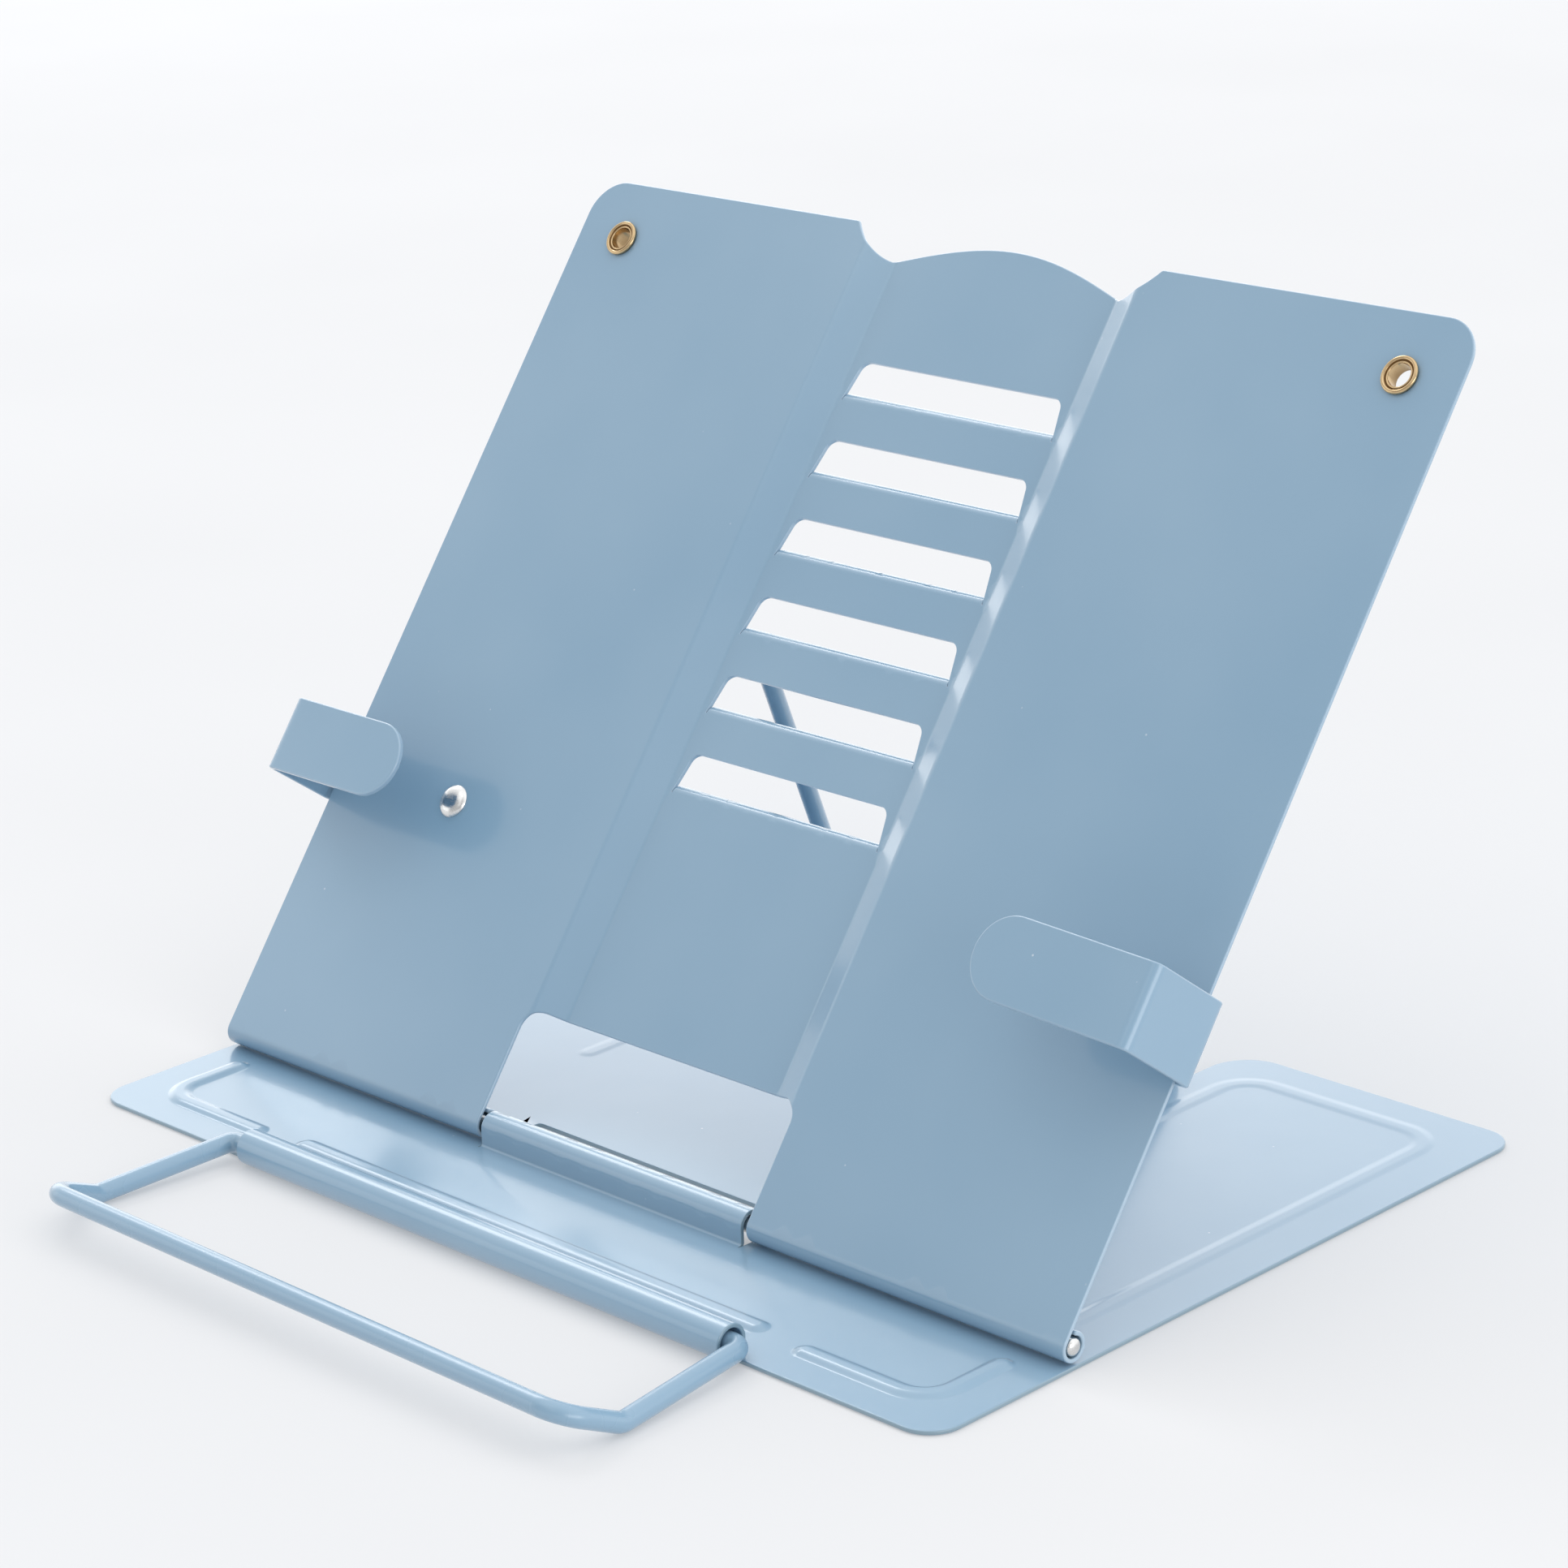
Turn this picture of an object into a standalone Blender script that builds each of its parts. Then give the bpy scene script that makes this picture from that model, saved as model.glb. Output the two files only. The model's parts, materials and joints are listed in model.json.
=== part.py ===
"""A folding book stand of painted sheet steel: a base, a back plate hinged on it, a wire prop, a wire bail that
holds the page edges at the front, and two side arms that slide out.

Metres, +Z up, the stand faces -Y and rests on Z = 0. Run it with: blender --background --python part.py
"""

import math

import bmesh
import bpy
from mathutils import Vector

MM = 0.001

# Sheet, clearances and how finely curves are drawn
SHEET = 0.8 * MM
REST_GAP = 0.3 * MM
SEAM_STEP = 0.03 * MM  # a rolled or lanced piece is this much thinner on each face than the sheet it grows from
OVERRUN = 1.0 * MM  # how far every cut runs past the face that it leaves by
SEAM_ROOT = 1.5 * MM  # how far a rolled or lanced piece starts inside its sheet
ARC_STEP = math.radians(15)
ROUND_STEPS = 32
SWELL_STEPS = 8
WIRE_RESOLUTION = 5
SMOOTH_ANGLE = math.radians(32)

# Hinge between the base and the back plate, along X
PIN_R = 1.6 * MM
PIN_GAP = 0.3 * MM
PIN_END_ROUND = 0.8 * MM
KNUCKLE_R = PIN_R + PIN_GAP + SHEET
HINGE_Z = SHEET + REST_GAP + KNUCKLE_R
PLATE_KNUCKLE_INSET = 1.4 * MM  # from the trough's mouth to where each wing's knuckle starts
KNUCKLE_SIDE_GAP = 1.0 * MM
PLATE_ROLL_TURN = math.radians(300)
BASE_ROLL_TURN = math.radians(240)

# Base, measured from the hinge axis
BASE_SIDE_MARGIN = 0.4 * MM  # beyond the back plate's side
BASE_FRONT = 33.5 * MM
BASE_BACK = 118.3 * MM
BASE_CORNER_R = 6.3 * MM
NOTCH_SIDE_GAP = 1.95 * MM  # from the prop's foot to the notch's side
NOTCH_FRONT = 101.0 * MM
NOTCH_LIP_R = 8.9 * MM
NOTCH_INNER_R = 4.0 * MM
WINDOW_BACK = 11.0 * MM
WINDOW_CORNER_R = 1.5 * MM

# Rolled edges of the base that the wires turn in
HEM_WIRE_GAP = 0.65 * MM
HEM_TURN = math.radians(305)
FRONT_HEM_LENGTH = 120.8 * MM
REAR_HEM_LENGTH = 71.0 * MM
REAR_HEM_OUT = 2.5 * MM  # from the notch's front edge to the hem's axis

# Stiffening beads pressed up in the base
BEAD_WIDTH = 4.0 * MM
BEAD_HEIGHT = 0.9 * MM
BEAD_BEND_R = 4.5 * MM
BEAD_END_SHARES = (0.4, 0.7, 0.88, 0.97)
GROOVE_OVERRUN = 0.2 * MM
FRONT_BEAD_INSET = 9.3 * MM
FRONT_BEAD_SIDE_INSET = 9.3 * MM
FRONT_BEAD_GAP = 5.5 * MM
MIDDLE_BEAD_INSET = 10.4 * MM
MIDDLE_BEAD_HALF = 57.0 * MM
FRONT_CORNER_BEAD_START = 67.9 * MM
REAR_BEAD_START = 6.5 * MM
REAR_BEAD_SIDE_INSET = 10.9 * MM
REAR_BEAD_INSET = 9.1 * MM
NOTCH_BEAD_INSET = 7.8 * MM
NOTCH_BEAD_END = 40.0 * MM

# Back plate
PLATE_ANGLE = math.radians(53.53)
PLATE_WIDTH = 210.0 * MM
PLATE_LENGTH = 179.2 * MM
PLATE_CORNER_R = 7.4 * MM
TROUGH_FLOOR_MARGIN = 1.25 * MM  # from the slots' wide ends to the foot of the trough's side
TROUGH_SIDE_RUN = 6.0 * MM
TROUGH_DEPTH = 3.2 * MM
TROUGH_BEND_R = 3.0 * MM
CUTAWAY_HEIGHT = 22.0 * MM
CUTAWAY_CORNER_R = 4.0 * MM
TOP_EDGE_INSET = 4.2 * MM  # from the trough's mouth to where a wing's straight top edge ends
VALLEY_INSET = 0.9 * MM  # from the foot of the trough's side to the lowest point of the top edge
VALLEY_DEPTH = 6.0 * MM
VALLEY_STEPS = 8
ARCH_STEPS = 9

# Slots in the trough, each with its tab bent back from the slot's lower edge
SLOT_COUNT = 6
SLOT_TOP_INSET = 25.5 * MM  # from the plate's upper end to the top of the first slot
SLOT_PITCH = 15.67 * MM
SLOT_HEIGHT = 7.53 * MM
SLOT_TOP_WIDTH = 47.8 * MM
SLOT_BOTTOM_WIDTH = 50.7 * MM
SLOT_CORNER_R = 2.2 * MM
TAB_BEND_R = 1.0 * MM
TAB_BEND = math.radians(81.5)
TAB_LENGTH = 7.2 * MM
TAB_IN_USE = 3  # the prop stands under the fourth tab from the top

# Prop wire
PROP_R = 1.75 * MM
PROP_TOP_WIDTH = 45.2 * MM
PROP_FOOT_OUT = 3.4 * MM  # from the hem's end to the middle of the leg
PROP_TOP_BEND_R = 4.5 * MM
PROP_FOOT_BEND_R = 2.4 * MM
PROP_INSERT = 12.0 * MM

# Bail wire
BAIL_R = 1.8 * MM
BAIL_ARM = 29.0 * MM  # from the hem's axis to the bend that lies on the table
BAIL_RISER = 12.1 * MM  # from that bend up to the bar
BAIL_RISER_TURN = math.radians(27.2)
BAIL_FOOT_OUT = 3.8 * MM  # from the hem's end to the middle of the leg
BAIL_BEND_WIDTH = 133.4 * MM
BAIL_BAR_WIDTH = 129.8 * MM
BAIL_BEND_R = 4.0 * MM
BAIL_BAR_BEND_R = 5.5 * MM
BAIL_FOOT_BEND_R = 2.4 * MM
BAIL_INSERT = 12.0 * MM

# Side arms
ARM_SHEET = 1.2 * MM
ARM_WIDTH = 14.0 * MM
ARM_UP = 53.5 * MM  # from the hinge axis along the plate
ARM_STAND_OFF = 15.75 * MM  # from the wing's front to the arm's front
ARM_EDGE_GAP = 0.6 * MM
ARM_REAR_BEND_R = 1.4 * MM
ARM_FRONT_BEND_R = 2.2 * MM
LEFT_FLANGE_LENGTH = 33.2 * MM
RIGHT_FLANGE_LENGTH = 37.3 * MM
ARM_TRAVEL = 25.0 * MM
ARM_TIP_SHARES = (0.0, 0.26, 0.5, 0.71, 0.87, 0.97, 0.997)

# Rivets that the arms slide on, and their washers
RIVET_X = 73.0 * MM
RIVET_R = 1.5 * MM
RIVET_GAP = 0.3 * MM
RIVET_HEAD_R = 3.2 * MM
RIVET_HEAD_HEIGHT = 1.3 * MM
RIVET_TAIL_R = 2.8 * MM
RIVET_TAIL_HEIGHT = 1.0 * MM
ARM_WASHER_R = 4.5 * MM
ARM_WASHER_THICKNESS = 0.6 * MM

# Brass eyelets in the upper corners, and their washers
EYELET_SIDE_INSET = 12.1 * MM
EYELET_TOP_INSET = 11.6 * MM
EYELET_BORE_R = 2.3 * MM
EYELET_WALL = 0.4 * MM
EYELET_GAP = 0.3 * MM
EYELET_RIM_R = 3.65 * MM
EYELET_RIM_HEIGHT = 0.9 * MM
EYELET_CURL_R = 3.4 * MM
EYELET_CURL_HEIGHT = 0.6 * MM
EYELET_WASHER_R = 4.4 * MM
EYELET_WASHER_THICKNESS = 0.5 * MM
DOME_STEPS = 6

# Finishes: base colour, roughness, metallic
POWDER_COAT = ((0.36, 0.51, 0.66), 0.45, 0.0)
BARE_STEEL = ((0.60, 0.60, 0.60), 0.30, 1.0)
BRASS = ((0.78, 0.60, 0.34), 0.25, 1.0)

# Places worked out from the sizes above
FRONT_HEM_R = BAIL_R + HEM_WIRE_GAP + SHEET
REAR_HEM_R = PROP_R + HEM_WIRE_GAP + SHEET
REAR_HEM_Y = NOTCH_FRONT + REAR_HEM_OUT
PROP_FOOT_X = REAR_HEM_LENGTH / 2 + PROP_FOOT_OUT
BAIL_FOOT_X = FRONT_HEM_LENGTH / 2 + BAIL_FOOT_OUT
NOTCH_X = PROP_FOOT_X + PROP_R + NOTCH_SIDE_GAP
BASE_X = PLATE_WIDTH / 2 + BASE_SIDE_MARGIN
TROUGH_FLOOR_X = SLOT_BOTTOM_WIDTH / 2 + TROUGH_FLOOR_MARGIN
TROUGH_MOUTH_X = TROUGH_FLOOR_X + TROUGH_SIDE_RUN
PLATE_KNUCKLE_X = TROUGH_MOUTH_X + PLATE_KNUCKLE_INSET
BASE_KNUCKLE_X = PLATE_KNUCKLE_X - KNUCKLE_SIDE_GAP
EYELET_X = PLATE_WIDTH / 2 - EYELET_SIDE_INSET
EYELET_UP = PLATE_LENGTH - EYELET_TOP_INSET
WING_FRONT = -KNUCKLE_R  # Y in the plate's own frame, which has X across, Y backwards and Z up along the plate
WING_BACK = WING_FRONT + SHEET
FLOOR_MIDDLE = WING_FRONT + SHEET / 2 + TROUGH_DEPTH
SEAM_THICKNESS = SHEET - 2 * SEAM_STEP


# Drawing planes: each maps (first, second, depth) to (x, y, z)


def flat(a, b, depth):
    return (a, b, depth)


def upright(a, b, depth):
    return (a, depth, b)


def across(a, b, depth):
    return (depth, a, b)


# Outlines and paths


def arc(centre, radius, start, turn):
    """Points along an arc, from the angle start through the angle turn."""
    count = max(2, math.ceil(abs(turn) / ARC_STEP))
    angles = [start + turn * index / count for index in range(count + 1)]
    return [(centre[0] + radius * math.cos(angle), centre[1] + radius * math.sin(angle)) for angle in angles]


def corner_arc(before, corner, after, radius):
    """The arc of this radius that rounds a corner, from one of its sides to the other."""
    here = Vector(corner)
    back = (Vector(before) - here).normalized()
    forward = (Vector(after) - here).normalized()
    half = back.angle(forward) / 2
    centre = here + (back + forward).normalized() * (radius / math.sin(half))
    first = here + back * (radius / math.tan(half)) - centre
    last = here + forward * (radius / math.tan(half)) - centre
    start = math.atan2(first.y, first.x)
    turn = math.atan2(first.x * last.y - first.y * last.x, first.dot(last))
    return arc(centre, radius, start, turn)


def rounded(corners, closed=True):
    """An outline or an open path through (a, b, radius) corners, with an arc at each radius that isn't zero."""
    points = []
    for index, (a, b, radius) in enumerate(corners):
        at_end = not closed and index in (0, len(corners) - 1)
        if at_end or radius == 0:
            points.append((a, b))
        else:
            following = corners[(index + 1) % len(corners)]
            points += corner_arc(corners[index - 1][:2], (a, b), following[:2], radius)
    return points


def bent(corners):
    """A path in space through (x, y, z, radius) corners, with an arc at each radius that isn't zero."""
    points = []
    for index, (x, y, z, radius) in enumerate(corners):
        here = Vector((x, y, z))
        if radius == 0:
            points.append(tuple(here))
            continue
        back = (Vector(corners[index - 1][:3]) - here).normalized()
        forward = (Vector(corners[index + 1][:3]) - here).normalized()
        half = back.angle(forward) / 2
        turn = math.pi - 2 * half
        centre = here + (back + forward).normalized() * (radius / math.sin(half))
        first = here + back * (radius / math.tan(half)) - centre
        count = max(2, math.ceil(turn / ARC_STEP))
        for step in range(count + 1):
            angle = turn * step / count
            points.append(tuple(centre + first * math.cos(angle) - back * (radius * math.sin(angle))))
    return points


def mirrored(points):
    """These (x, ...) corners followed by their mirror images across the middle, in reverse order."""
    return points + [(-point[0], *point[1:]) for point in reversed(points)]


def side_vectors(path):
    """For each point of a path, the vector to its left that keeps a strip's width constant round corners."""
    vectors = []
    last = len(path) - 1
    for index in range(len(path)):
        before = (Vector(path[max(index, 1)]) - Vector(path[max(index, 1) - 1])).normalized()
        after = (Vector(path[min(index, last - 1) + 1]) - Vector(path[min(index, last - 1)])).normalized()
        along = (before + after).normalized()
        vectors.append(Vector((-along.y, along.x)) / along.dot(before))
    return vectors


# Closed bodies, each a list of points and a list of faces


def prism(outline, low, high, place):
    """An outline drawn out from low to high."""
    count = len(outline)
    points = [place(a, b, low) for a, b in outline] + [place(a, b, high) for a, b in outline]
    faces = [list(range(count)), list(range(count, 2 * count))]
    for index in range(count):
        following = (index + 1) % count
        faces.append([index, following, count + following, count + index])
    return points, faces


def skin(rings, points):
    """A body whose rings, each a list of indexes, are joined in turn and capped at both ends."""
    faces = [rings[0], rings[-1]]
    for ring, following in zip(rings, rings[1:]):
        for index in range(len(ring)):
            after = (index + 1) % len(ring)
            faces.append([ring[index], ring[after], following[after], following[index]])
    return points, faces


def ribbon(path, thickness, half_width, place, middle=0.0):
    """A strip bent along a path. half_width takes the distance along the path."""
    points = []
    rings = []
    distance = 0.0
    for index, ((a, b), side) in enumerate(zip(path, side_vectors(path))):
        if index:
            distance += math.dist(path[index - 1], path[index])
        reach = side * (thickness / 2)
        width = half_width(distance)
        rings.append([len(points) + corner for corner in range(4)])
        points.append(place(a - reach.x, b - reach.y, middle - width))
        points.append(place(a + reach.x, b + reach.y, middle - width))
        points.append(place(a + reach.x, b + reach.y, middle + width))
        points.append(place(a - reach.x, b - reach.y, middle + width))
    return skin(rings, points)


def swell(path, radius, centre_z, floor_z):
    """A round-topped, round-ended ridge along a path on the base: the part above floor_z of a tube at centre_z."""
    sides = side_vectors(path)
    reach = math.sqrt(radius**2 - (floor_z - centre_z) ** 2)
    start = Vector(path[0]) - Vector(path[1])
    end = Vector(path[-1]) - Vector(path[-2])
    stations = [(Vector(point), side, 0.0) for point, side in zip(path, sides)]
    for share in BEAD_END_SHARES:
        stations.insert(0, (Vector(path[0]) + start.normalized() * reach * share, sides[0], reach * share))
        stations.append((Vector(path[-1]) + end.normalized() * reach * share, sides[-1], reach * share))
    points = []
    rings = []
    for point, side, past_end in stations:
        here = math.sqrt(radius**2 - past_end**2)
        low = math.asin((floor_z - centre_z) / here)
        rings.append([])
        for index in range(SWELL_STEPS + 1):
            angle = low + (math.pi - 2 * low) * index / SWELL_STEPS
            place = point + side * (here * math.cos(angle))
            rings[-1].append(len(points))
            points.append((place.x, place.y, centre_z + here * math.sin(angle)))
    return skin(rings, points)


def lathe(profile, place):
    """A closed profile of (radius, height) points turned about an axis. Points on the axis stay single."""
    points = []
    rings = []
    for radius, height in profile:
        count = 1 if radius == 0 else ROUND_STEPS
        rings.append([len(points) + index for index in range(count)])
        for index in range(count):
            angle = 2 * math.pi * index / ROUND_STEPS
            points.append(place(radius * math.cos(angle), radius * math.sin(angle), height))
    faces = []
    for ring, following in zip(rings, rings[1:] + rings[:1]):
        for index in range(ROUND_STEPS if len(ring) + len(following) > 2 else 0):
            after = index + 1
            corners = [ring[index % len(ring)], ring[after % len(ring)]]
            corners += [following[after % len(following)], following[index % len(following)]]
            faces.append(list(dict.fromkeys(corners)))
    return points, faces


def together(bodies):
    """Several separate bodies as one list of points and one of faces."""
    points = []
    faces = []
    for body_points, body_faces in bodies:
        faces += [[index + len(points) for index in face] for face in body_faces]
        points += body_points
    return points, faces


# Objects


def add_mesh(name, body, parent):
    """A mesh object with its faces turned outward, smooth where they meet at a small angle."""
    mesh = bpy.data.meshes.new(name)
    mesh.from_pydata(body[0], [], body[1])
    shape = bmesh.new()
    shape.from_mesh(mesh)
    bmesh.ops.recalc_face_normals(shape, faces=shape.faces)
    shape.to_mesh(mesh)
    shape.free()
    mesh.shade_smooth()
    mesh.set_sharp_from_angle(angle=SMOOTH_ANGLE)
    thing = bpy.data.objects.new(name, mesh)
    bpy.context.scene.collection.objects.link(thing)
    thing.parent = parent
    return thing


def add_wire(name, path, radius, parent):
    """A round wire along a path, with closed ends."""
    curve = bpy.data.curves.new(name, "CURVE")
    curve.dimensions = "3D"
    curve.bevel_depth = radius
    curve.bevel_resolution = WIRE_RESOLUTION
    curve.use_fill_caps = True
    line = curve.splines.new("POLY")
    line.points.add(len(path) - 1)
    for point, place in zip(line.points, path):
        point.co = (*place, 1.0)
    thing = bpy.data.objects.new(name, curve)
    bpy.context.scene.collection.objects.link(thing)
    thing.parent = parent
    return thing


def add_empty(name, parent, location=(0.0, 0.0, 0.0), tilt=0.0):
    """An axis that pieces are placed by. The tilt is about X."""
    thing = bpy.data.objects.new(name, None)
    bpy.context.scene.collection.objects.link(thing)
    thing.parent = parent
    thing.location = location
    thing.rotation_euler = (tilt, 0.0, 0.0)
    return thing


def combine(thing, operation, name, bodies):
    """Adds a Boolean to an object. Its tool is drawn in the same frame and left out of the render."""
    tool = add_mesh(name, together(bodies), thing.parent)
    tool.hide_render = True
    tool.display_type = "WIRE"
    change = thing.modifiers.new(name, "BOOLEAN")
    change.operation = operation
    change.solver = "EXACT"
    change.object = tool


def finish(thing, coat):
    """The object's own material."""
    colour, roughness, metallic = coat
    material = bpy.data.materials.new(thing.name)
    material.use_nodes = True
    shader = material.node_tree.nodes["Principled BSDF"]
    shader.inputs["Base Color"].default_value = (*colour, 1.0)
    shader.inputs["Roughness"].default_value = roughness
    shader.inputs["Metallic"].default_value = metallic
    thing.data.materials.append(material)


# The base


def hem(edge_y, forward, radius, length):
    """The sheet's edge rolled up into a tube that a wire turns in. forward is -1 for a roll at the front."""
    bend = arc((edge_y, radius), radius - SHEET / 2, -math.pi / 2, forward * HEM_TURN)
    path = [(edge_y - forward * (SEAM_ROOT + radius), SHEET / 2), *bend]
    return ribbon(path, SEAM_THICKNESS, lambda distance: length / 2, across)


def base_knuckle():
    """The tongue lanced out of the base behind the hinge, standing up in front of the pin and rolled back over it."""
    middle_r = KNUCKLE_R - SHEET / 2
    path = [(-middle_r, SHEET / 2), *arc((0.0, HINGE_Z), middle_r, math.pi, -BASE_ROLL_TURN)]
    return ribbon(path, SEAM_THICKNESS, lambda distance: BASE_KNUCKLE_X, across)


def bead_paths():
    """The middle lines of the beads: one at the front, a corner each side of it, and a long one each side behind."""
    middle_y = MIDDLE_BEAD_INSET - BASE_FRONT
    front_y = FRONT_BEAD_INSET - BASE_FRONT
    side_x = BASE_X - FRONT_BEAD_SIDE_INSET
    rear_side_x = BASE_X - REAR_BEAD_SIDE_INSET
    rear_y = BASE_BACK - REAR_BEAD_INSET
    notch_x = NOTCH_X + NOTCH_BEAD_INSET
    paths = [[(-MIDDLE_BEAD_HALF, middle_y), (MIDDLE_BEAD_HALF, middle_y)]]
    for side in (-1, 1):
        front = [
            (side * FRONT_CORNER_BEAD_START, front_y, 0.0),
            (side * side_x, front_y, BEAD_BEND_R),
            (side * side_x, -FRONT_BEAD_GAP, 0.0),
        ]
        rear = [
            (side * rear_side_x, REAR_BEAD_START, 0.0),
            (side * rear_side_x, rear_y, BEAD_BEND_R),
            (side * notch_x, rear_y, BEAD_BEND_R),
            (side * notch_x, NOTCH_BEAD_END, 0.0),
        ]
        paths.append(rounded(front, closed=False))
        paths.append(rounded(rear, closed=False))
    return paths


def base_plate(root):
    """The sheet with its beads, its two rolled edges and the hinge's middle knuckle."""
    outline = mirrored(
        [
            (NOTCH_X, NOTCH_FRONT, NOTCH_INNER_R),
            (NOTCH_X, BASE_BACK, NOTCH_LIP_R),
            (BASE_X, BASE_BACK, BASE_CORNER_R),
            (BASE_X, -BASE_FRONT, BASE_CORNER_R),
        ]
    )
    base = add_mesh("base_plate", prism(rounded(outline), 0.0, SHEET, flat), root)
    bead_r = (BEAD_HEIGHT**2 + (BEAD_WIDTH / 2) ** 2) / (2 * BEAD_HEIGHT)
    bead_z = SHEET + BEAD_HEIGHT - bead_r
    paths = bead_paths()
    ridges = [swell(path, bead_r, bead_z, SHEET / 2) for path in paths]
    grooves = [swell(path, bead_r - SHEET, bead_z, -GROOVE_OVERRUN) for path in paths]
    window = mirrored(
        [
            (BASE_KNUCKLE_X, SHEET - KNUCKLE_R, 0.0),
            (BASE_KNUCKLE_X, WINDOW_BACK, WINDOW_CORNER_R),
        ]
    )
    combine(base, "DIFFERENCE", "base_window_cut", [prism(rounded(window), -OVERRUN, SHEET + OVERRUN, flat)])
    combine(base, "UNION", "base_beads", ridges)
    combine(base, "DIFFERENCE", "base_bead_grooves", grooves)
    front_hem = hem(-BASE_FRONT, -1, FRONT_HEM_R, FRONT_HEM_LENGTH)
    rear_hem = hem(REAR_HEM_Y, 1, REAR_HEM_R, REAR_HEM_LENGTH)
    combine(base, "UNION", "base_rolls", [front_hem, rear_hem, base_knuckle()])
    finish(base, POWDER_COAT)


def hinge_pin(root):
    """The pin through all the knuckles, with rounded ends."""
    half = PLATE_WIDTH / 2
    end = half - PIN_END_ROUND
    shoulder = arc((PIN_R - PIN_END_ROUND, end), PIN_END_ROUND, 0.0, math.pi / 2)
    profile = [(0.0, -half)]
    profile += [(radius, -height) for radius, height in reversed(shoulder)]
    profile += shoulder
    profile.append((0.0, half))
    pin = add_mesh("hinge_pin", lathe(profile, across), root)
    pin.location = (0.0, 0.0, HINGE_Z)
    finish(pin, BARE_STEEL)


# The back plate


def top_edge():
    """The right half of the plate's top edge, from the end of the straight part to the middle of the arch."""
    valley = PLATE_LENGTH - VALLEY_DEPTH
    valley_x = TROUGH_FLOOR_X - VALLEY_INSET
    run = TROUGH_MOUTH_X + TOP_EDGE_INSET - valley_x
    points = []
    for index in range(VALLEY_STEPS):
        share = index / VALLEY_STEPS
        drop = VALLEY_DEPTH * (1 + math.cos(math.pi * share)) / 2
        points.append((valley_x + run * (1 - share), valley + drop, 0.0))
    for index in range(ARCH_STEPS):
        share = 1 - index / ARCH_STEPS
        rise = VALLEY_DEPTH * math.cos(math.pi * share / 2)
        points.append((valley_x * share, valley + rise, 0.0))
    return points


def plate_outline():
    """The plate seen square on, with the cutaway round the middle knuckle."""
    right = [
        (PLATE_KNUCKLE_X, CUTAWAY_HEIGHT, CUTAWAY_CORNER_R),
        (PLATE_KNUCKLE_X, 0.0, 0.0),
        (PLATE_WIDTH / 2, 0.0, 0.0),
        (PLATE_WIDTH / 2, PLATE_LENGTH, PLATE_CORNER_R),
        *top_edge(),
    ]
    left = mirrored(right)[len(right) :]
    return rounded([*right, (0.0, PLATE_LENGTH, 0.0), *left])


def trough_section():
    """The plate's mid surface seen from its end: a wing, the sunk floor and the other wing."""
    wing = WING_FRONT + SHEET / 2
    left = [
        (-PLATE_WIDTH / 2 - OVERRUN, wing, 0.0),
        (-TROUGH_MOUTH_X, wing, TROUGH_BEND_R),
        (-TROUGH_FLOOR_X, FLOOR_MIDDLE, TROUGH_BEND_R),
    ]
    return rounded(mirrored(left), closed=False)


def slot_bottom(number):
    return PLATE_LENGTH - SLOT_TOP_INSET - number * SLOT_PITCH - SLOT_HEIGHT


def slot_cut(number):
    bottom = slot_bottom(number)
    outline = mirrored(
        [
            (SLOT_BOTTOM_WIDTH / 2, bottom, 0.0),
            (SLOT_TOP_WIDTH / 2, bottom + SLOT_HEIGHT, SLOT_CORNER_R),
        ]
    )
    return prism(rounded(outline), FLOOR_MIDDLE - OVERRUN, FLOOR_MIDDLE + OVERRUN, upright)


def tab_half_width(distance):
    """Half the tab's width this far along it: the slot's taper, and the slot's round corners at the tip."""
    along = min(max(distance - SEAM_ROOT, 0.0), TAB_LENGTH)
    width = SLOT_BOTTOM_WIDTH + (SLOT_TOP_WIDTH - SLOT_BOTTOM_WIDTH) * along / SLOT_HEIGHT
    past = max(along - (TAB_LENGTH - SLOT_CORNER_R), 0.0)
    return width / 2 - SEAM_STEP - SLOT_CORNER_R + math.sqrt(SLOT_CORNER_R**2 - past**2)


def tab(number):
    """A tab that was cut free of its slot on three sides and bent back about the slot's lower edge."""
    bottom = slot_bottom(number)
    bend = arc((FLOOR_MIDDLE + TAB_BEND_R, bottom), TAB_BEND_R, math.pi, -TAB_BEND)
    straight = TAB_LENGTH - TAB_BEND_R * TAB_BEND
    lengths = [straight - SLOT_CORNER_R * (1 - share) for share in ARM_TIP_SHARES]
    start = bend[-1]
    tip = [(start[0] + math.sin(TAB_BEND) * length, start[1] + math.cos(TAB_BEND) * length) for length in lengths]
    path = [(FLOOR_MIDDLE, bottom - SEAM_ROOT), *bend, *tip]
    return ribbon(path, SEAM_THICKNESS, tab_half_width, across)


def plate_knuckle(side):
    """A wing's lower edge rolled back under the pin."""
    middle_r = KNUCKLE_R - SHEET / 2
    path = [(-middle_r, SEAM_ROOT), *arc((0.0, 0.0), middle_r, math.pi, PLATE_ROLL_TURN)]
    outer = PLATE_WIDTH / 2
    half = (outer - PLATE_KNUCKLE_X) / 2
    return ribbon(path, SEAM_THICKNESS, lambda distance: half, across, side * (outer - half))


def round_cut(x, up, radius):
    """A hole through a wing."""
    outline = arc((x, up), radius, 0.0, 2 * math.pi)[:-1]
    return prism(outline, WING_FRONT - OVERRUN, WING_BACK + OVERRUN, upright)


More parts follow.
